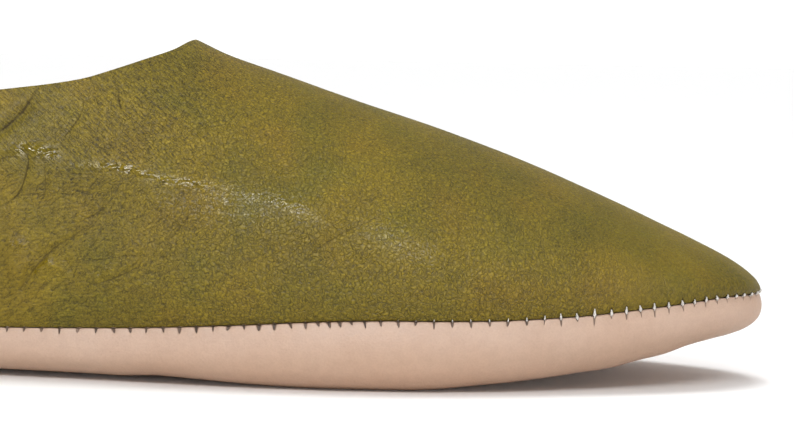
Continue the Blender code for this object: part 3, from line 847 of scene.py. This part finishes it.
def rounded_line(points, steps=8):
    """A line bent smoothly through its points: cubic pieces whose slope is half the way between the
    neighbours."""
    points = np.array(points, float)
    before = np.vstack([2 * points[0] - points[1], points, 2 * points[-1] - points[-2]])
    share = np.linspace(0, 1, steps, endpoint=False)[None, :, None]
    a, b, c, d = (before[i : len(before) - 3 + i, None, :] for i in range(4))
    bent = b + share / 2 * (c - a + share * (2 * a - 5 * b + 4 * c - d + share * (3 * b - a - 3 * c + d)))
    return np.vstack([bent.reshape(-1, 2), points[-1:]])


def off_line(x, height, points):
    """Distance from a bent line, on which side of it, and the share of its length at the nearest
    place, for arrays of places in mm."""
    line = rounded_line(points)
    lengths = np.concatenate([[0], np.cumsum(np.linalg.norm(np.diff(line, axis=0), axis=1))])
    best = np.full(x.shape, 1e9)
    side = np.zeros(x.shape)
    share = np.zeros(x.shape)
    for i, (start, end) in enumerate(zip(line[:-1], line[1:])):
        along = end - start
        length = np.linalg.norm(along)
        dx, dz = x - start[0], height - start[1]
        t = np.clip((dx * along[0] + dz * along[1]) / length**2, 0, 1)
        distance = np.hypot(dx - t * along[0], dz - t * along[1])
        closer = distance < best
        best = np.where(closer, distance, best)
        side = np.where(closer, (along[0] * dz - along[1] * dx) / length, side)
        share = np.where(closer, (lengths[i] + t * length) / lengths[-1], share)
    return best, side, share


def fading(share):
    """1 along most of a line, falling to nought at its ends."""
    return np.clip(np.minimum(share, 1 - share) / 0.25, 0, 1) ** 0.7


def folds(x, height, creases):
    """What a table of creases gives at places in mm. The depth in metres: a trough with a low lip on
    both sides, and one side standing over the other. The distance from the strongest line near by,
    over its width and with a sign, and how dark it is: together they draw a line of painted shade
    finer than the mesh."""
    depth = np.zeros(x.shape)
    off = np.full(x.shape, 4.0)
    dark = np.zeros(x.shape)
    for points, width, deep, step, darkness in creases:
        near, side, share = off_line(x, height, points)
        fade = fading(share)
        trough = lump(near, width) - 0.30 * lump(near - 2.1 * width, 1.3 * width)
        over = np.tanh(side / (0.7 * width)) * lump(near, 3.2 * width)
        depth += MM * fade * (deep * trough + step / 2 * over)
        here = darkness * fade * lump(near, 1.5 * width)
        off = np.where(here > dark, np.clip(side / width, -4, 4), off)
        dark = np.maximum(dark, here)
    return depth, off, dark


def glints(x, height, lines):
    """How far the glaze has broken at places in mm: the strongest of the glint lines."""
    strength = np.zeros(x.shape)
    for points, reach, most in lines:
        near, _, share = off_line(x, height, points)
        strength = np.maximum(strength, most * lump(near, reach) * fading(share))
    return strength


# Soft oval patches of the outer side: x and height of the middle and reach along and up, in mm, and
# how much browner the dye is there, or how much paler the colour is, or darker below nought.
BROWNER = ((96, 22, 9, 5.625, 0.30), (74, 20, 8, 5, 0.25))
PALER_OR_DARKER = (
    (34, 44, 19.8, 9, 0.12),
    (76, 30, 18, 9, 0.09),
    (-16, 46, 18, 16.36, -0.14),
    (121, 22, 7, 400, -0.13),
)


def patches(x, height, rows):
    """The sum of the patches: a bell of the distance from each middle, counted in reaches."""
    return sum(
        most * lump(np.hypot((x - middle) / along, (height - level) / up), 1)
        for middle, level, along, up, most in rows
    )


def seen_side(y):
    """1 on the outer side of the shoe, 0 on the inner, with a soft change over the ridge."""
    share = np.clip(0.5 - y / 0.016, 0, 1)
    return share**2 * (3 - 2 * share)


def met(edge, ribs):
    """A point per rib, where those of the vamp's two sides are set to their mean, so that they meet."""
    return np.where(ribs.is_vamp[:, None], (edge + edge[ribs.other]) / 2, edge)


def edge_bulge(edge, inner_edge, ribs, outside):
    """Direction away from the leather along the opening's edge, the same for both throat ribs."""
    first = np.flatnonzero(~ribs.is_vamp)[0] - 1
    last = ribs.count - first
    loop = edge[first:last]
    along = np.roll(loop, -1, axis=0) - np.roll(loop, 1, axis=0)
    bulge = EDGE_BULGE * unit(np.cross(along, (inner_edge - edge)[first:last]))
    away = np.sum(bulge * (outside[first:last, -1] - outside[first:last, -3]))
    bulge = bulge * np.sign(away)
    every = np.zeros(edge.shape)
    every[first:last] = bulge
    every[last] = bulge[0]
    return every


def wall_between(outside, inside, ribs):
    """Rings of a wall: its outer face, a half-round edge round the opening, and its inner face. The
    faces along the ridge, where both sides of the vamp meet, are marked as skipped."""
    edge, inner_edge = outside[:, -1], inside[:, -1]
    bulge = edge_bulge(edge, inner_edge, ribs, outside)
    angle = np.linspace(0, math.pi, EDGE_POINTS + 2)[None, 1:-1, None]
    middle = (edge + inner_edge)[:, None, :] / 2
    outward = (edge - inner_edge)[:, None, :] / 2
    radius = np.linalg.norm(outward, axis=-1, keepdims=True)
    lip = middle + outward * np.cos(angle) + bulge[:, None, :] * radius * np.sin(angle)
    rings = np.concatenate([outside, lip, inside[:, ::-1]], axis=1)
    skipped = np.zeros(rings.shape[:2], bool)
    both = ribs.is_vamp & np.roll(ribs.is_vamp, -1)
    start = outside.shape[1] - 1
    skipped[both, start : start + EDGE_POINTS + 1] = True
    return rings, skipped


def upper_density(x):
    """Ribs lie closer where the creases are and closest at the throat, whose edge turns sharply."""
    return 1 + 1.6 * lump(x + 0.018, 0.024) + 9 * np.exp(-abs(x - THROAT_X) / 0.0012)


upper_ribs = Ribs(np.concatenate([
    spaced_turns(0, THROAT_TURN, VAMP_RIBS, upper_density),
    spaced_turns(THROAT_TURN, math.pi, QUARTER_RIBS, upper_density)[1:],
]))
upper_controls = arches(upper_ribs)
upper_stops = shares_to_topline(upper_ribs, upper_controls)
even = np.linspace(0, 1, UPPER_STEPS + 1)
last_shares = upper_stops[:, None] * (even - 0.75 * even * (1 - even) ** 8)
last_face = curves(upper_controls, last_shares)
last_normals = inward_normals(last_face, upper_ribs, upper_ribs.is_vamp, 1)


OLIVE_TONES = ((0.30, "#645814"), (0.45, "#6F6015"), (0.58, "#796716"), (0.72, "#6D5D13"))
OLIVE_BROWN = "#7A5D14"
OLIVE_GREEN = "#5E5F19"
# Painted shade low on the upper by the seam, where the leather turns under
OLIVE_LOW_SHADE = "#4E4212"
# Painted shade of the creases and stitch dents, and a dark line along the seam
OLIVE_PAINTED_SHADE = "#33270A"
LOW_SHADE_HEIGHT = 12


def olive_leather():
    """Bark-tanned goatskin, dyed olive, waxed and glazed with a stone: satin, pebbled over the vamp,
    with hair lines up the side, fine wrinkles below, and glints where the glaze has broken. Painted
    shade lies in its hollows, creases and stitch dents and low by the seam."""
    finish, node, mm = new_finish("waxed_olive_goatskin")
    up, broken, grain, haired, wrinkled, tall, crease, crease_off, brown, faded, dent, dent_shade = (
        node("Attribute", attribute_name=label, output=2)
        for label in (
            "up", "broken", "grain", "hair", "wrinkled", "tall",
            "crease", "crease_off", "brown", "faded", "dent", "dent_shade",
        )
    )
    # pebbles of the grain, 0.8 mm across between thin valleys, drawn taller towards the toe
    bent = node("TexNoise", mm, Scale=1.0, Detail=1.0, output=1)
    bent = node("Mix", 0.8, mm, bent, data_type="RGBA", blend_type="LINEAR_LIGHT")
    stretched = node("Mapping", bent, Scale=(1.0, 1.0, 0.45))
    bent = node("Mix", tall, bent, stretched, data_type="RGBA")
    pebbles = node("TexVoronoi", bent, Scale=1.25, feature="DISTANCE_TO_EDGE")
    pebbles = node("ValToRGB", pebbles, stops=((0.0, 0.0), (0.18, 0.62), (0.46, 1.0)))
    crumb = node("TexNoise", bent, Scale=1.7, Detail=1.0)
    crumb = node("ValToRGB", crumb, stops=((0.36, 0.0), (0.62, 1.0)))
    tooth = node("TexNoise", mm, Scale=1.5, Detail=3.0, Roughness=0.7)
    # hair lines that slant down towards the toe, 0.6 mm apart and 3 mm long
    slanted = node("Mapping", mm, Rotation=(0, math.radians(-38), 0))
    slanted = node("Mapping", slanted, Scale=(0.38, 1.0, 3.3))
    hairs = node("TexNoise", slanted, Scale=1.0, Detail=1.0)
    hairs = node("ValToRGB", hairs, stops=((0.40, 0.0), (0.60, 1.0)))
    # fine wrinkles that run level, 0.7 mm apart, and longer ones that cross them
    level = node("Mapping", mm, Rotation=(0, math.radians(6), 0))
    level = node("Mapping", level, Scale=(0.55, 1.0, 2.3))
    creping = node("TexNoise", level, Scale=1.0, Detail=2.0)
    creping = node("ValToRGB", creping, stops=((0.36, 0.0), (0.62, 1.0)))
    crossing = node("Mapping", mm, Rotation=(0, math.radians(42), 0))
    crossing = node("Mapping", crossing, Scale=(0.20, 0.5, 0.80))
    net = node("TexNoise", crossing, Scale=1.0, Detail=3.0)
    net = node("ValToRGB", net, stops=((0.46, 1.0), (0.50, 0.0), (0.54, 1.0)))
    # beads and short swells of the skin, 1.6 mm across, where the glaze has broken
    beads = node("TexNoise", mm, Scale=0.62, Detail=0.0)
    swell = node("TexNoise", node("Mapping", level, Scale=(0.8, 1.0, 0.62)), Scale=1.0, Detail=0.0)
    # dye that took unevenly, in clouds of 10 to 40 mm, browner where it is thin, and painted shade low by
    # the seam where the leather turns under
    cloud = node("TexNoise", mm, Scale=0.040, Detail=4.0, Roughness=0.55)
    blot = node("TexNoise", mm, Scale=0.085, Detail=3.0)
    tone = node("ValToRGB", cloud, stops=OLIVE_TONES)
    thin = node("ValToRGB", blot, stops=((0.52, 0.0), (0.72, 0.25)))
    thick = node("ValToRGB", blot, stops=((0.28, 0.22), (0.46, 0.0)))
    low = node("ValToRGB", node("DIVIDE", up, LOW_SHADE_HEIGHT), stops=((0.0, 0.40), (0.15, 0.15), (0.6, 0.0)))
    dyes = ((thin, OLIVE_BROWN), (thick, OLIVE_GREEN), (brown, OLIVE_BROWN), (low, OLIVE_LOW_SHADE))
    for share, other in dyes:
        tone = node("Mix", share, tone, other, data_type="RGBA")
    # the dye lies darker in every hollow of the skin and paler where it is rubbed
    # the grain's hollows darker, partly its own tone and partly painted shade, and patches paler or darker
    shade = node("MULTIPLY_ADD", node("SUBTRACT", tooth, 0.5), 0.75, node("ADD", faded, 1.0))
    for pattern, middle, share, most in (
        (pebbles, 0.64, grain, 0.68),
        (crumb, 0.5, grain, 0.30),
        (hairs, 0.5, haired, 0.42),
        (creping, 0.5, wrinkled, 0.30),
        (net, 0.85, wrinkled, 0.34),
    ):
        swing = node("MULTIPLY", node("SUBTRACT", pattern, middle), most)
        shade = node("MULTIPLY_ADD", swing, share, shade)
    tone = node("VectorMath", tone, shade, operation="SCALE")
    # painted shade along the creases, drawn finer than the mesh and broken here and there
    drift = node("MULTIPLY_ADD", node("SUBTRACT", tooth, 0.5), 0.8, crease_off)
    line = node("SUBTRACT", 1.3, node("MULTIPLY", node("ABSOLUTE", drift), 3.6), use_clamp=True)
    kept = node("ValToRGB", node("TexNoise", mm, Scale=0.35, Detail=2.0), stops=((0.34, 0.60), (0.50, 1.0)))
    line = node("MULTIPLY", node("MULTIPLY", line, kept), crease)
    # painted shade in the dent above each stitch: a wedge that narrows upwards and fades
    left = node("SUBTRACT", 1.0, node("DIVIDE", up, dent), use_clamp=True)
    width = node("MULTIPLY_ADD", left, 0.42, 0.05)
    pulled = node("SUBTRACT", 1.4, node("DIVIDE", beside_stitch(node, 0.0), width), use_clamp=True)
    pulled = node("MULTIPLY", pulled, node("MULTIPLY", left, 3.0, use_clamp=True))
    pulled = node("MULTIPLY", pulled, dent_shade)
    at_seam = node("ValToRGB", up, stops=((0.0, 0.25), (0.18, 0.0)))
    # painted shade of creases and dents, with a dark line along the seam
    dark = node("MAXIMUM", node("MULTIPLY", line, 0.85), node("MAXIMUM", pulled, at_seam))
    tone = node("Mix", dark, tone, OLIVE_PAINTED_SHADE, data_type="RGBA")
    # the glaze: smoother where it glints, matt in the creases
    matt = node("ValToRGB", tooth, stops=((0.3, 0.48), (0.7, 0.60)))
    gloss = node("MULTIPLY_ADD", broken, -0.38, matt)
    gloss = node("MULTIPLY_ADD", dark, 0.3, gloss, use_clamp=True)
    # relief, in mm: the fine grain, pressed flat where the glaze glints, and there beads and swells
    relief = node("MULTIPLY", tooth, 0.006)
    for pattern, share, most in (
        (pebbles, grain, 0.130),
        (crumb, grain, 0.090),
        (hairs, haired, 0.035),
        (creping, wrinkled, 0.040),
        (net, wrinkled, 0.050),
    ):
        relief = node("MULTIPLY_ADD", node("MULTIPLY", pattern, most), share, relief)
    relief = node("MULTIPLY", relief, node("MULTIPLY_ADD", broken, -0.85, 1.0))
    for pattern, share, most in ((swell, broken, 0.22), (beads, broken, 0.56), (dark, 1.0, -0.12)):
        relief = node("MULTIPLY_ADD", node("MULTIPLY", pattern, most), share, relief)
    return surfaced(finish, {"Base Color": tone, "Roughness": gloss, "Specular IOR Level": 0.20}, relief)


def make_upper():
    """The goatskin: the last's face with its creases, swells and slack drawn in along the normals,
    a rounded edge at the seam and round the opening, and a join down the back of the heel."""
    ribs = upper_ribs
    x, y, z = np.moveaxis(last_face + SHIFT, 2, 0)
    px, pz = x / MM, z / MM
    outer = seen_side(y)
    creased, off, dark = folds(px, pz, OUTER_CREASES)
    inner_creased, inner_off, inner_dark = folds(px, pz, INNER_CREASES)
    shaped, inner_shaped = folds(px, pz, OUTER_FORMS)[0], folds(px, pz, INNER_FORMS)[0]
    up = run_along(last_face)
    from_top = up[:, -1:] - up
    near_edge = np.where(ribs.is_vamp[:, None], 1, np.maximum(ramp(from_top, 0, 5), 0.12))
    depth = outer * (creased + shaped) + (1 - outer) * (inner_creased + inner_shaped)
    slack = np.maximum(ramp(px, 20, -30), 0.15)
    for deep, seed, size in SLACK_WAVES:
        depth += deep * slack * seeded_waves(x, y, z, seed, size)
    join = lump(y / MM, 0.35) * (x < -0.1)
    depth = (depth + JOIN_RIDGE * join) * ramp(up, 0, 4) * near_edge
    depth -= TOE_FULLER * lump(px - 123.5, 7) * ramp(up, 0, 3)
    depth += rounded_lip(up * MM, UPPER_LIP)
    depth += UPPER_PULL * stitch_pull(ribs, up, 1.3)
    outside = last_face + last_normals * depth[..., None]
    outside[:, -1] = met(outside[:, -1], ribs)
    picks = np.linspace(0, UPPER_STEPS, UPPER_INNER_STEPS + 1).round().astype(int)
    inside = (outside + last_normals * UPPER_WALL * HIDE)[:, picks]
    inside[:, 0] = outside[:, 0] + ribs.level(UPPER_WALL * HIDE)
    inside[:, -1] = met(inside[:, -1], ribs)
    rings, skipped = wall_between(outside, inside, ribs)
    labels = {
        "up": up,
        "crease": np.clip(np.where(outer > 0.5, dark, inner_dark) + 0.6 * join, 0, 1),
        "crease_off": np.where(join > 0.05, y / MM / 0.8, np.where(outer > 0.5, off, inner_off)),
        "broken": np.where(outer > 0.5, glints(px, pz, OUTER_GLINTS), glints(px, pz, INNER_GLINTS)),
        "brown": outer * patches(px, pz, BROWNER),
        "faded": outer * patches(px, pz, PALER_OR_DARKER),
        "grain": (0.35 + 0.65 * ramp(px, -40, 10)) * np.maximum(ramp(px, 118, 88), 0.62),
        "hair": ramp(px, 30, 0) * ramp(pz, 40, 46),
        "tall": outer * ramp(px, 88, 122),
        "wrinkled": ramp(px, 24, -16) * ramp(pz, 48, 42),
    }
    labels |= along_ribs(ribs, {
        "dent": ribs.stitching("dent", 4, 0.15),
        "dent_shade": np.clip(ribs.stitching("proud") * 4.5, 0.08, 0.8),
    }, up)
    for name, values in labels.items():
        lip = np.repeat(values[:, -1:], EDGE_POINTS, axis=1)
        labels[name] = np.concatenate([values, lip, values[:, picks][:, ::-1]], axis=1)
    piece = closed_piece("goatskin_upper", rings + SHIFT, skipped, labels, olive_leather())
    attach(piece, "root")
    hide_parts("upper")
    return piece


make_upper()


# The lining. Thin undyed sheepskin, pasted inside the goatskin and cut just short of its edge.

LINING_SHORT = 2.6 * MM
LINING_STEPS = 40
LINING_OUTSIDE = UPPER_WALL * (HIDE + 0.04) + 0.8 * MM
LINING_WALL = UPPER_WALL * 0.35


def lining_leather():
    """Undyed sheepskin, cream and matt, with a faint napped grain."""
    finish, node, mm = new_finish("sheepskin_lining")
    cloud = node("TexNoise", mm, Scale=0.06, Detail=5.0)
    nap = node("TexNoise", mm, Scale=1.4, Detail=5.0)
    tone = node("ValToRGB", cloud, stops=((0.3, "#C9AE8C"), (0.7, "#DCC6A6")))
    fine = node("ValToRGB", nap, stops=((0.3, 0.90), (0.7, 1.0)))
    tone = node("Mix", 1.0, tone, fine, data_type="RGBA", blend_type="MULTIPLY")
    return surfaced(finish, {"Base Color": tone, "Roughness": 0.75}, nap, NAP_HEIGHT, strength=0.4)


def make_lining():
    """The lining: the last's face moved in by the goatskin, and a thin wall within that."""
    ribs = Ribs(np.concatenate([
        spaced_turns(0, THROAT_TURN, 90, upper_density),
        spaced_turns(THROAT_TURN, math.pi, 100, upper_density)[1:],
    ]))
    controls = arches(ribs)
    stops = shares_to_topline(ribs, controls)
    whole = curves(controls, stops[:, None] * np.linspace(0, 1, 41))
    lengths = run_along(whole)[:, -1] * MM
    short = np.where(ribs.is_vamp, 0, LINING_SHORT / lengths)
    stops = stops * (1 - short * ramp(ribs.seam[:, 0], THROAT_X, THROAT_X - 0.004))
    face = curves(controls, stops[:, None] * np.linspace(0, 1, LINING_STEPS + 1))
    normals = inward_normals(face, ribs, ribs.is_vamp, 1)
    faces = []
    for distance in (LINING_OUTSIDE, LINING_OUTSIDE + LINING_WALL):
        points = face + normals * distance
        points[:, 0] = face[:, 0] + ribs.level(distance)
        points[:, -1] = met(points[:, -1], ribs)
        faces.append(points)
    rings, skipped = wall_between(faces[0], faces[1], ribs)
    piece = closed_piece("lining", rings + SHIFT, skipped, {}, lining_leather())
    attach(piece, "root")
    return piece


make_lining()


# The thread. Two-ply linen, undyed, that whips over the seam from hole to hole by hand.

THREAD_POINTS = 13
THREAD_SIDES = 8
THREAD_SUNK = 0.7 * MM
THREAD_WIDEST = 0.62
THREAD_END = 0.25
PLY_BULGE = 0.14
PLY_TWIST = 1.6 * math.pi
# Painted shade on the thread where it sinks into its slit
THREAD_SUNK_SHADE = "#5A3F2A"


def linen_thread():
    """Undyed linen: grey-white, matt, its two plies twisted, with a little dirt in the twist,
    and painted shade, brown, where the stitch has sunk into the leather."""
    finish, node, mm = new_finish("undyed_linen_thread")
    twist = node("TexNoise", mm, Scale=3.0, Detail=3.0)
    clean = node("ValToRGB", twist, stops=((0.3, "#A39C93"), (0.6, "#D6D1CB")))
    sunk_shade = node("Attribute", attribute_name="sunk_shade", output=2)
    tone = node("Mix", sunk_shade, clean, THREAD_SUNK_SHADE, data_type="RGBA")
    return surfaced(finish, {"Base Color": tone, "Roughness": 0.6})


def stitch_ribs():
    """A rib for each stitch, from the toe along the outer side to the heel and back: where the
    running count of stitches is whole."""
    trial = np.linspace(0, math.pi, 12001)
    count = stitch_count_at(half_arc(trial))
    half = np.interp(np.arange(0, STITCH_COUNT), count, trial)
    ribs = Ribs(np.concatenate([[0], half, [math.pi]]))
    kept = np.flatnonzero((ribs.turns > 1e-6) & (abs(ribs.turns - math.pi) > 1e-6))
    return ribs, kept


def make_stitches():
    """Each stitch is a tube along a short arch: out of a hole in the upper, over the seam and into
    its slit in the sole's edge. It is widest just above the slit, and its section is two plies side
    by side that twist along it."""
    ribs, kept = stitch_ribs()
    turns, seam = ribs.turns[kept], ribs.seam[kept]
    ahead = unit(seam_points(turns + 1e-4) - seam_points(turns - 1e-4))
    out = -ribs.level(1)[kept]
    toeward = ahead * np.where(turns < math.pi, -1, 1)[:, None]
    flare = np.radians(section("flare", seam[:, 0]))[:, None]
    rising = out * np.sin(flare) + np.cos(flare) * [0, 0, 1]
    falling = unit(out * SWELL_REACH - [0, 0, SWELL_DEPTH])
    above = MM * ribs.stitching("above", 0, 0.12)[kept, None]
    below = MM * ribs.stitching("below", 1, 0.12)[kept, None]
    radius = MM / 2 * ribs.stitching("width", 2, 0.10)[kept]
    lean = (ribs.stitching("lean") + stitch_sway(ribs))[kept, None]
    t = np.linspace(0, 1, THREAD_POINTS)
    top = seam + rising * above - toeward * lean * above
    bottom = seam + falling * below + toeward * lean * below
    line = top[:, None, :] * (1 - t[:, None]) + bottom[:, None, :] * t[:, None]
    arch = np.sin(math.pi * t) ** 0.7
    ends = (1 - 2 * t) ** 8
    proud = MM * ribs.stitching("proud")[kept, None] * arch - radius[:, None] * 0.6 - THREAD_SUNK * ends
    line = line + out[:, None, :] * proud[..., None]
    along = unit(np.gradient(line, axis=1))
    across = unit(np.cross(along, np.broadcast_to(out[:, None, :], along.shape)))
    face = np.cross(across, along)
    angle = np.linspace(0, 2 * math.pi, THREAD_SIDES, endpoint=False)
    plies = 1 + PLY_BULGE * np.cos(2 * (angle[None, :] - PLY_TWIST * t[:, None]))
    spindle = np.where(t < THREAD_WIDEST, t / THREAD_WIDEST, (1 - t) / (1 - THREAD_WIDEST)) ** 0.8
    reach = radius[:, None, None] * (plies * (THREAD_END + (1 - THREAD_END) * spindle)[:, None])[None]
    ring = across[:, :, None, :] * np.cos(angle)[:, None] + face[:, :, None, :] * np.sin(angle)[:, None]
    tube = line[:, :, None, :] + reach[..., None] * ring
    per = THREAD_POINTS * THREAD_SIDES
    index = np.arange(per).reshape(THREAD_POINTS, THREAD_SIDES)
    following = np.roll(index, -1, axis=1)
    sides = np.stack([index[:-1], index[1:], following[1:], following[:-1]], axis=-1).reshape(-1, 4)
    starts = np.arange(len(kept)) * per
    quads = (sides[None] + starts[:, None, None]).reshape(-1, 4).tolist()
    caps = (index[0] + starts[:, None]).tolist() + (index[-1][::-1] + starts[:, None]).tolist()
    mesh = bpy.data.meshes.new("whip_stitches")
    mesh.from_pydata(tube.reshape(-1, 3) + SHIFT, [], quads + caps)
    shape = bmesh.new()
    shape.from_mesh(mesh)
    bmesh.ops.recalc_face_normals(shape, faces=shape.faces)
    shape.to_mesh(mesh)
    shape.free()
    sunk = np.clip(-3.2 * ribs.stitching("proud")[kept], 0, 0.85)
    mesh.attributes.new("sunk_shade", "FLOAT", "POINT").data.foreach_set("value", np.repeat(sunk, per))
    piece = placed(mesh, linen_thread())
    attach(piece, "root")
    return piece


make_stitches()


# The studio. A pale matt floor that runs out of sight, a wide soft light overhead, a strip in front
# that draws the glaze's highlight, and an even pale sky down at the horizon.

FLOOR_SIZE = 60.0
FLOOR_ALBEDO = 0.92
OVERHEAD_STRENGTH = 1.80
OVERHEAD_ANGLE = math.radians(24)
OVERHEAD_TURN = (math.radians(-12), math.radians(-4), 0)
SHOE_MIDDLE = 0.04
FRONT_POWER = 7.2
FRONT_SIZE = {"shape": "RECTANGLE", "size": 1.25, "size_y": 0.12}
FRONT_PLACE = (0.05, -0.95, 0.95)
GLINT_POWER = 30
GLINT_SIZE = {"shape": "RECTANGLE", "size": 1.0, "size_y": 0.03}

# Brightness of the studio by height (the sine of the elevation) in front, where the camera stands,
# and behind, over SKY_MOST: a pale cove at the horizon, dark walls, and the soft light overhead
SKY_MOST = 2.4
SKY_FRONT = ((0.00, 0.95), (0.20, 0.90), (0.28, 0.03), (0.58, 0.05), (0.74, 0.24))
SKY_BACK = ((0.00, 0.48), (0.20, 0.48), (0.28, 0.22), (0.58, 0.22), (0.74, 0.24))

floor_mesh = bpy.data.meshes.new("floor")
half = FLOOR_SIZE / 2
corners = [(-half, -half, 0), (half, -half, 0), (half, half, 0), (-half, half, 0)]
floor_mesh.from_pydata(corners, [], [(0, 1, 2, 3)])
paper, paper_node, paper_mm = new_finish("matt_white_paper")
tooth = paper_node("TexNoise", paper_mm, Scale=0.9, Detail=2.0)
shade = paper_node("ValToRGB", tooth, stops=((0.0, FLOOR_ALBEDO - 0.01), (1.0, FLOOR_ALBEDO + 0.01)))
surfaced(paper, {"Base Color": shade, "Roughness": 0.9, "Specular IOR Level": 0.1})
floor = placed(floor_mesh, paper)


def hang(name, kind, place, turn, **settings):
    """A light of that kind with its settings, hung at a place and turned there."""
    data = bpy.data.lights.new(name, kind)
    for label, value in settings.items():
        setattr(data, label, value)
    light = bpy.data.objects.new(name, data)
    light.location = place
    light.rotation_euler = turn
    bpy.context.scene.collection.objects.link(light)
    return light


overhead = hang("overhead", "SUN", (0, 0, 0), OVERHEAD_TURN, energy=OVERHEAD_STRENGTH, angle=OVERHEAD_ANGLE)
overhead.visible_glossy = False
to_shoe = (math.atan2(-FRONT_PLACE[1], FRONT_PLACE[2] - SHOE_MIDDLE), 0, 0)
hang("front_strip", "AREA", FRONT_PLACE, to_shoe, energy=FRONT_POWER, **FRONT_SIZE)
# A narrow tube within the strip, seen in the glaze alone
glint = hang("glint_tube", "AREA", FRONT_PLACE, to_shoe, energy=GLINT_POWER, **GLINT_SIZE)
glint.visible_diffuse = False

world = bpy.data.worlds.new("studio")
world.use_nodes = True
sky_node = functools.partial(add, world.node_tree)
direction = sky_node("TexCoord")
depth = sky_node("MULTIPLY_ADD", sky_node("SeparateXYZ", direction, output=1), 2.0, 0.5, use_clamp=True)
height = sky_node("SeparateXYZ", direction, output=2)
nearer = sky_node("ValToRGB", height, stops=SKY_FRONT)
farther = sky_node("ValToRGB", height, stops=SKY_BACK)
glow = sky_node("Mix", depth, nearer, farther, data_type="RGBA")
background = world.node_tree.nodes["Background"]
feed(world.node_tree, background.inputs["Color"], glow)
feed(world.node_tree, background.inputs["Strength"], SKY_MOST)
bpy.context.scene.world = world
bpy.context.scene.view_settings.view_transform = "Standard"
bpy.context.scene.view_settings.look = "None"

# The camera stands 54 cm off, 7 cm up, a little towards the toe, as the photograph shows the shoe.
# FOCAL_PIXELS is its focal length over the width of a pixel of the 794 pixel wide photograph.
PHOTO_WIDTH = 794
FOCAL_PIXELS = 2455
SENSOR = 36
YAW = math.radians(6)
PITCH = math.radians(3.81)
ROLL = math.radians(1.08)
STAND_OFF = 0.540
EYE_HEIGHT = 0.0690
AIM_X = 0.0477

camera_data = bpy.data.cameras.new("camera")
camera_data.sensor_width = SENSOR
camera_data.lens = FOCAL_PIXELS * SENSOR / PHOTO_WIDTH
camera_data.clip_start = 0.01
camera_data.clip_end = 200
camera = bpy.data.objects.new("camera", camera_data)
forward = np.array([-math.sin(YAW) * math.cos(PITCH), math.cos(YAW) * math.cos(PITCH), -math.sin(PITCH)])
right = np.array([math.cos(YAW), math.sin(YAW), 0])
above = np.cross(right, forward)
rolled_right = math.cos(ROLL) * right + math.sin(ROLL) * above
rolled_up = -math.sin(ROLL) * right + math.cos(ROLL) * above
eye = (AIM_X + STAND_OFF * math.sin(YAW), -STAND_OFF * math.cos(YAW), EYE_HEIGHT)
columns = np.array([rolled_right, rolled_up, -forward]).T
camera.matrix_world = Matrix([[*columns[i], eye[i]] for i in range(3)] + [[0, 0, 0, 1]])
bpy.context.scene.collection.objects.link(camera)
bpy.context.scene.camera = camera
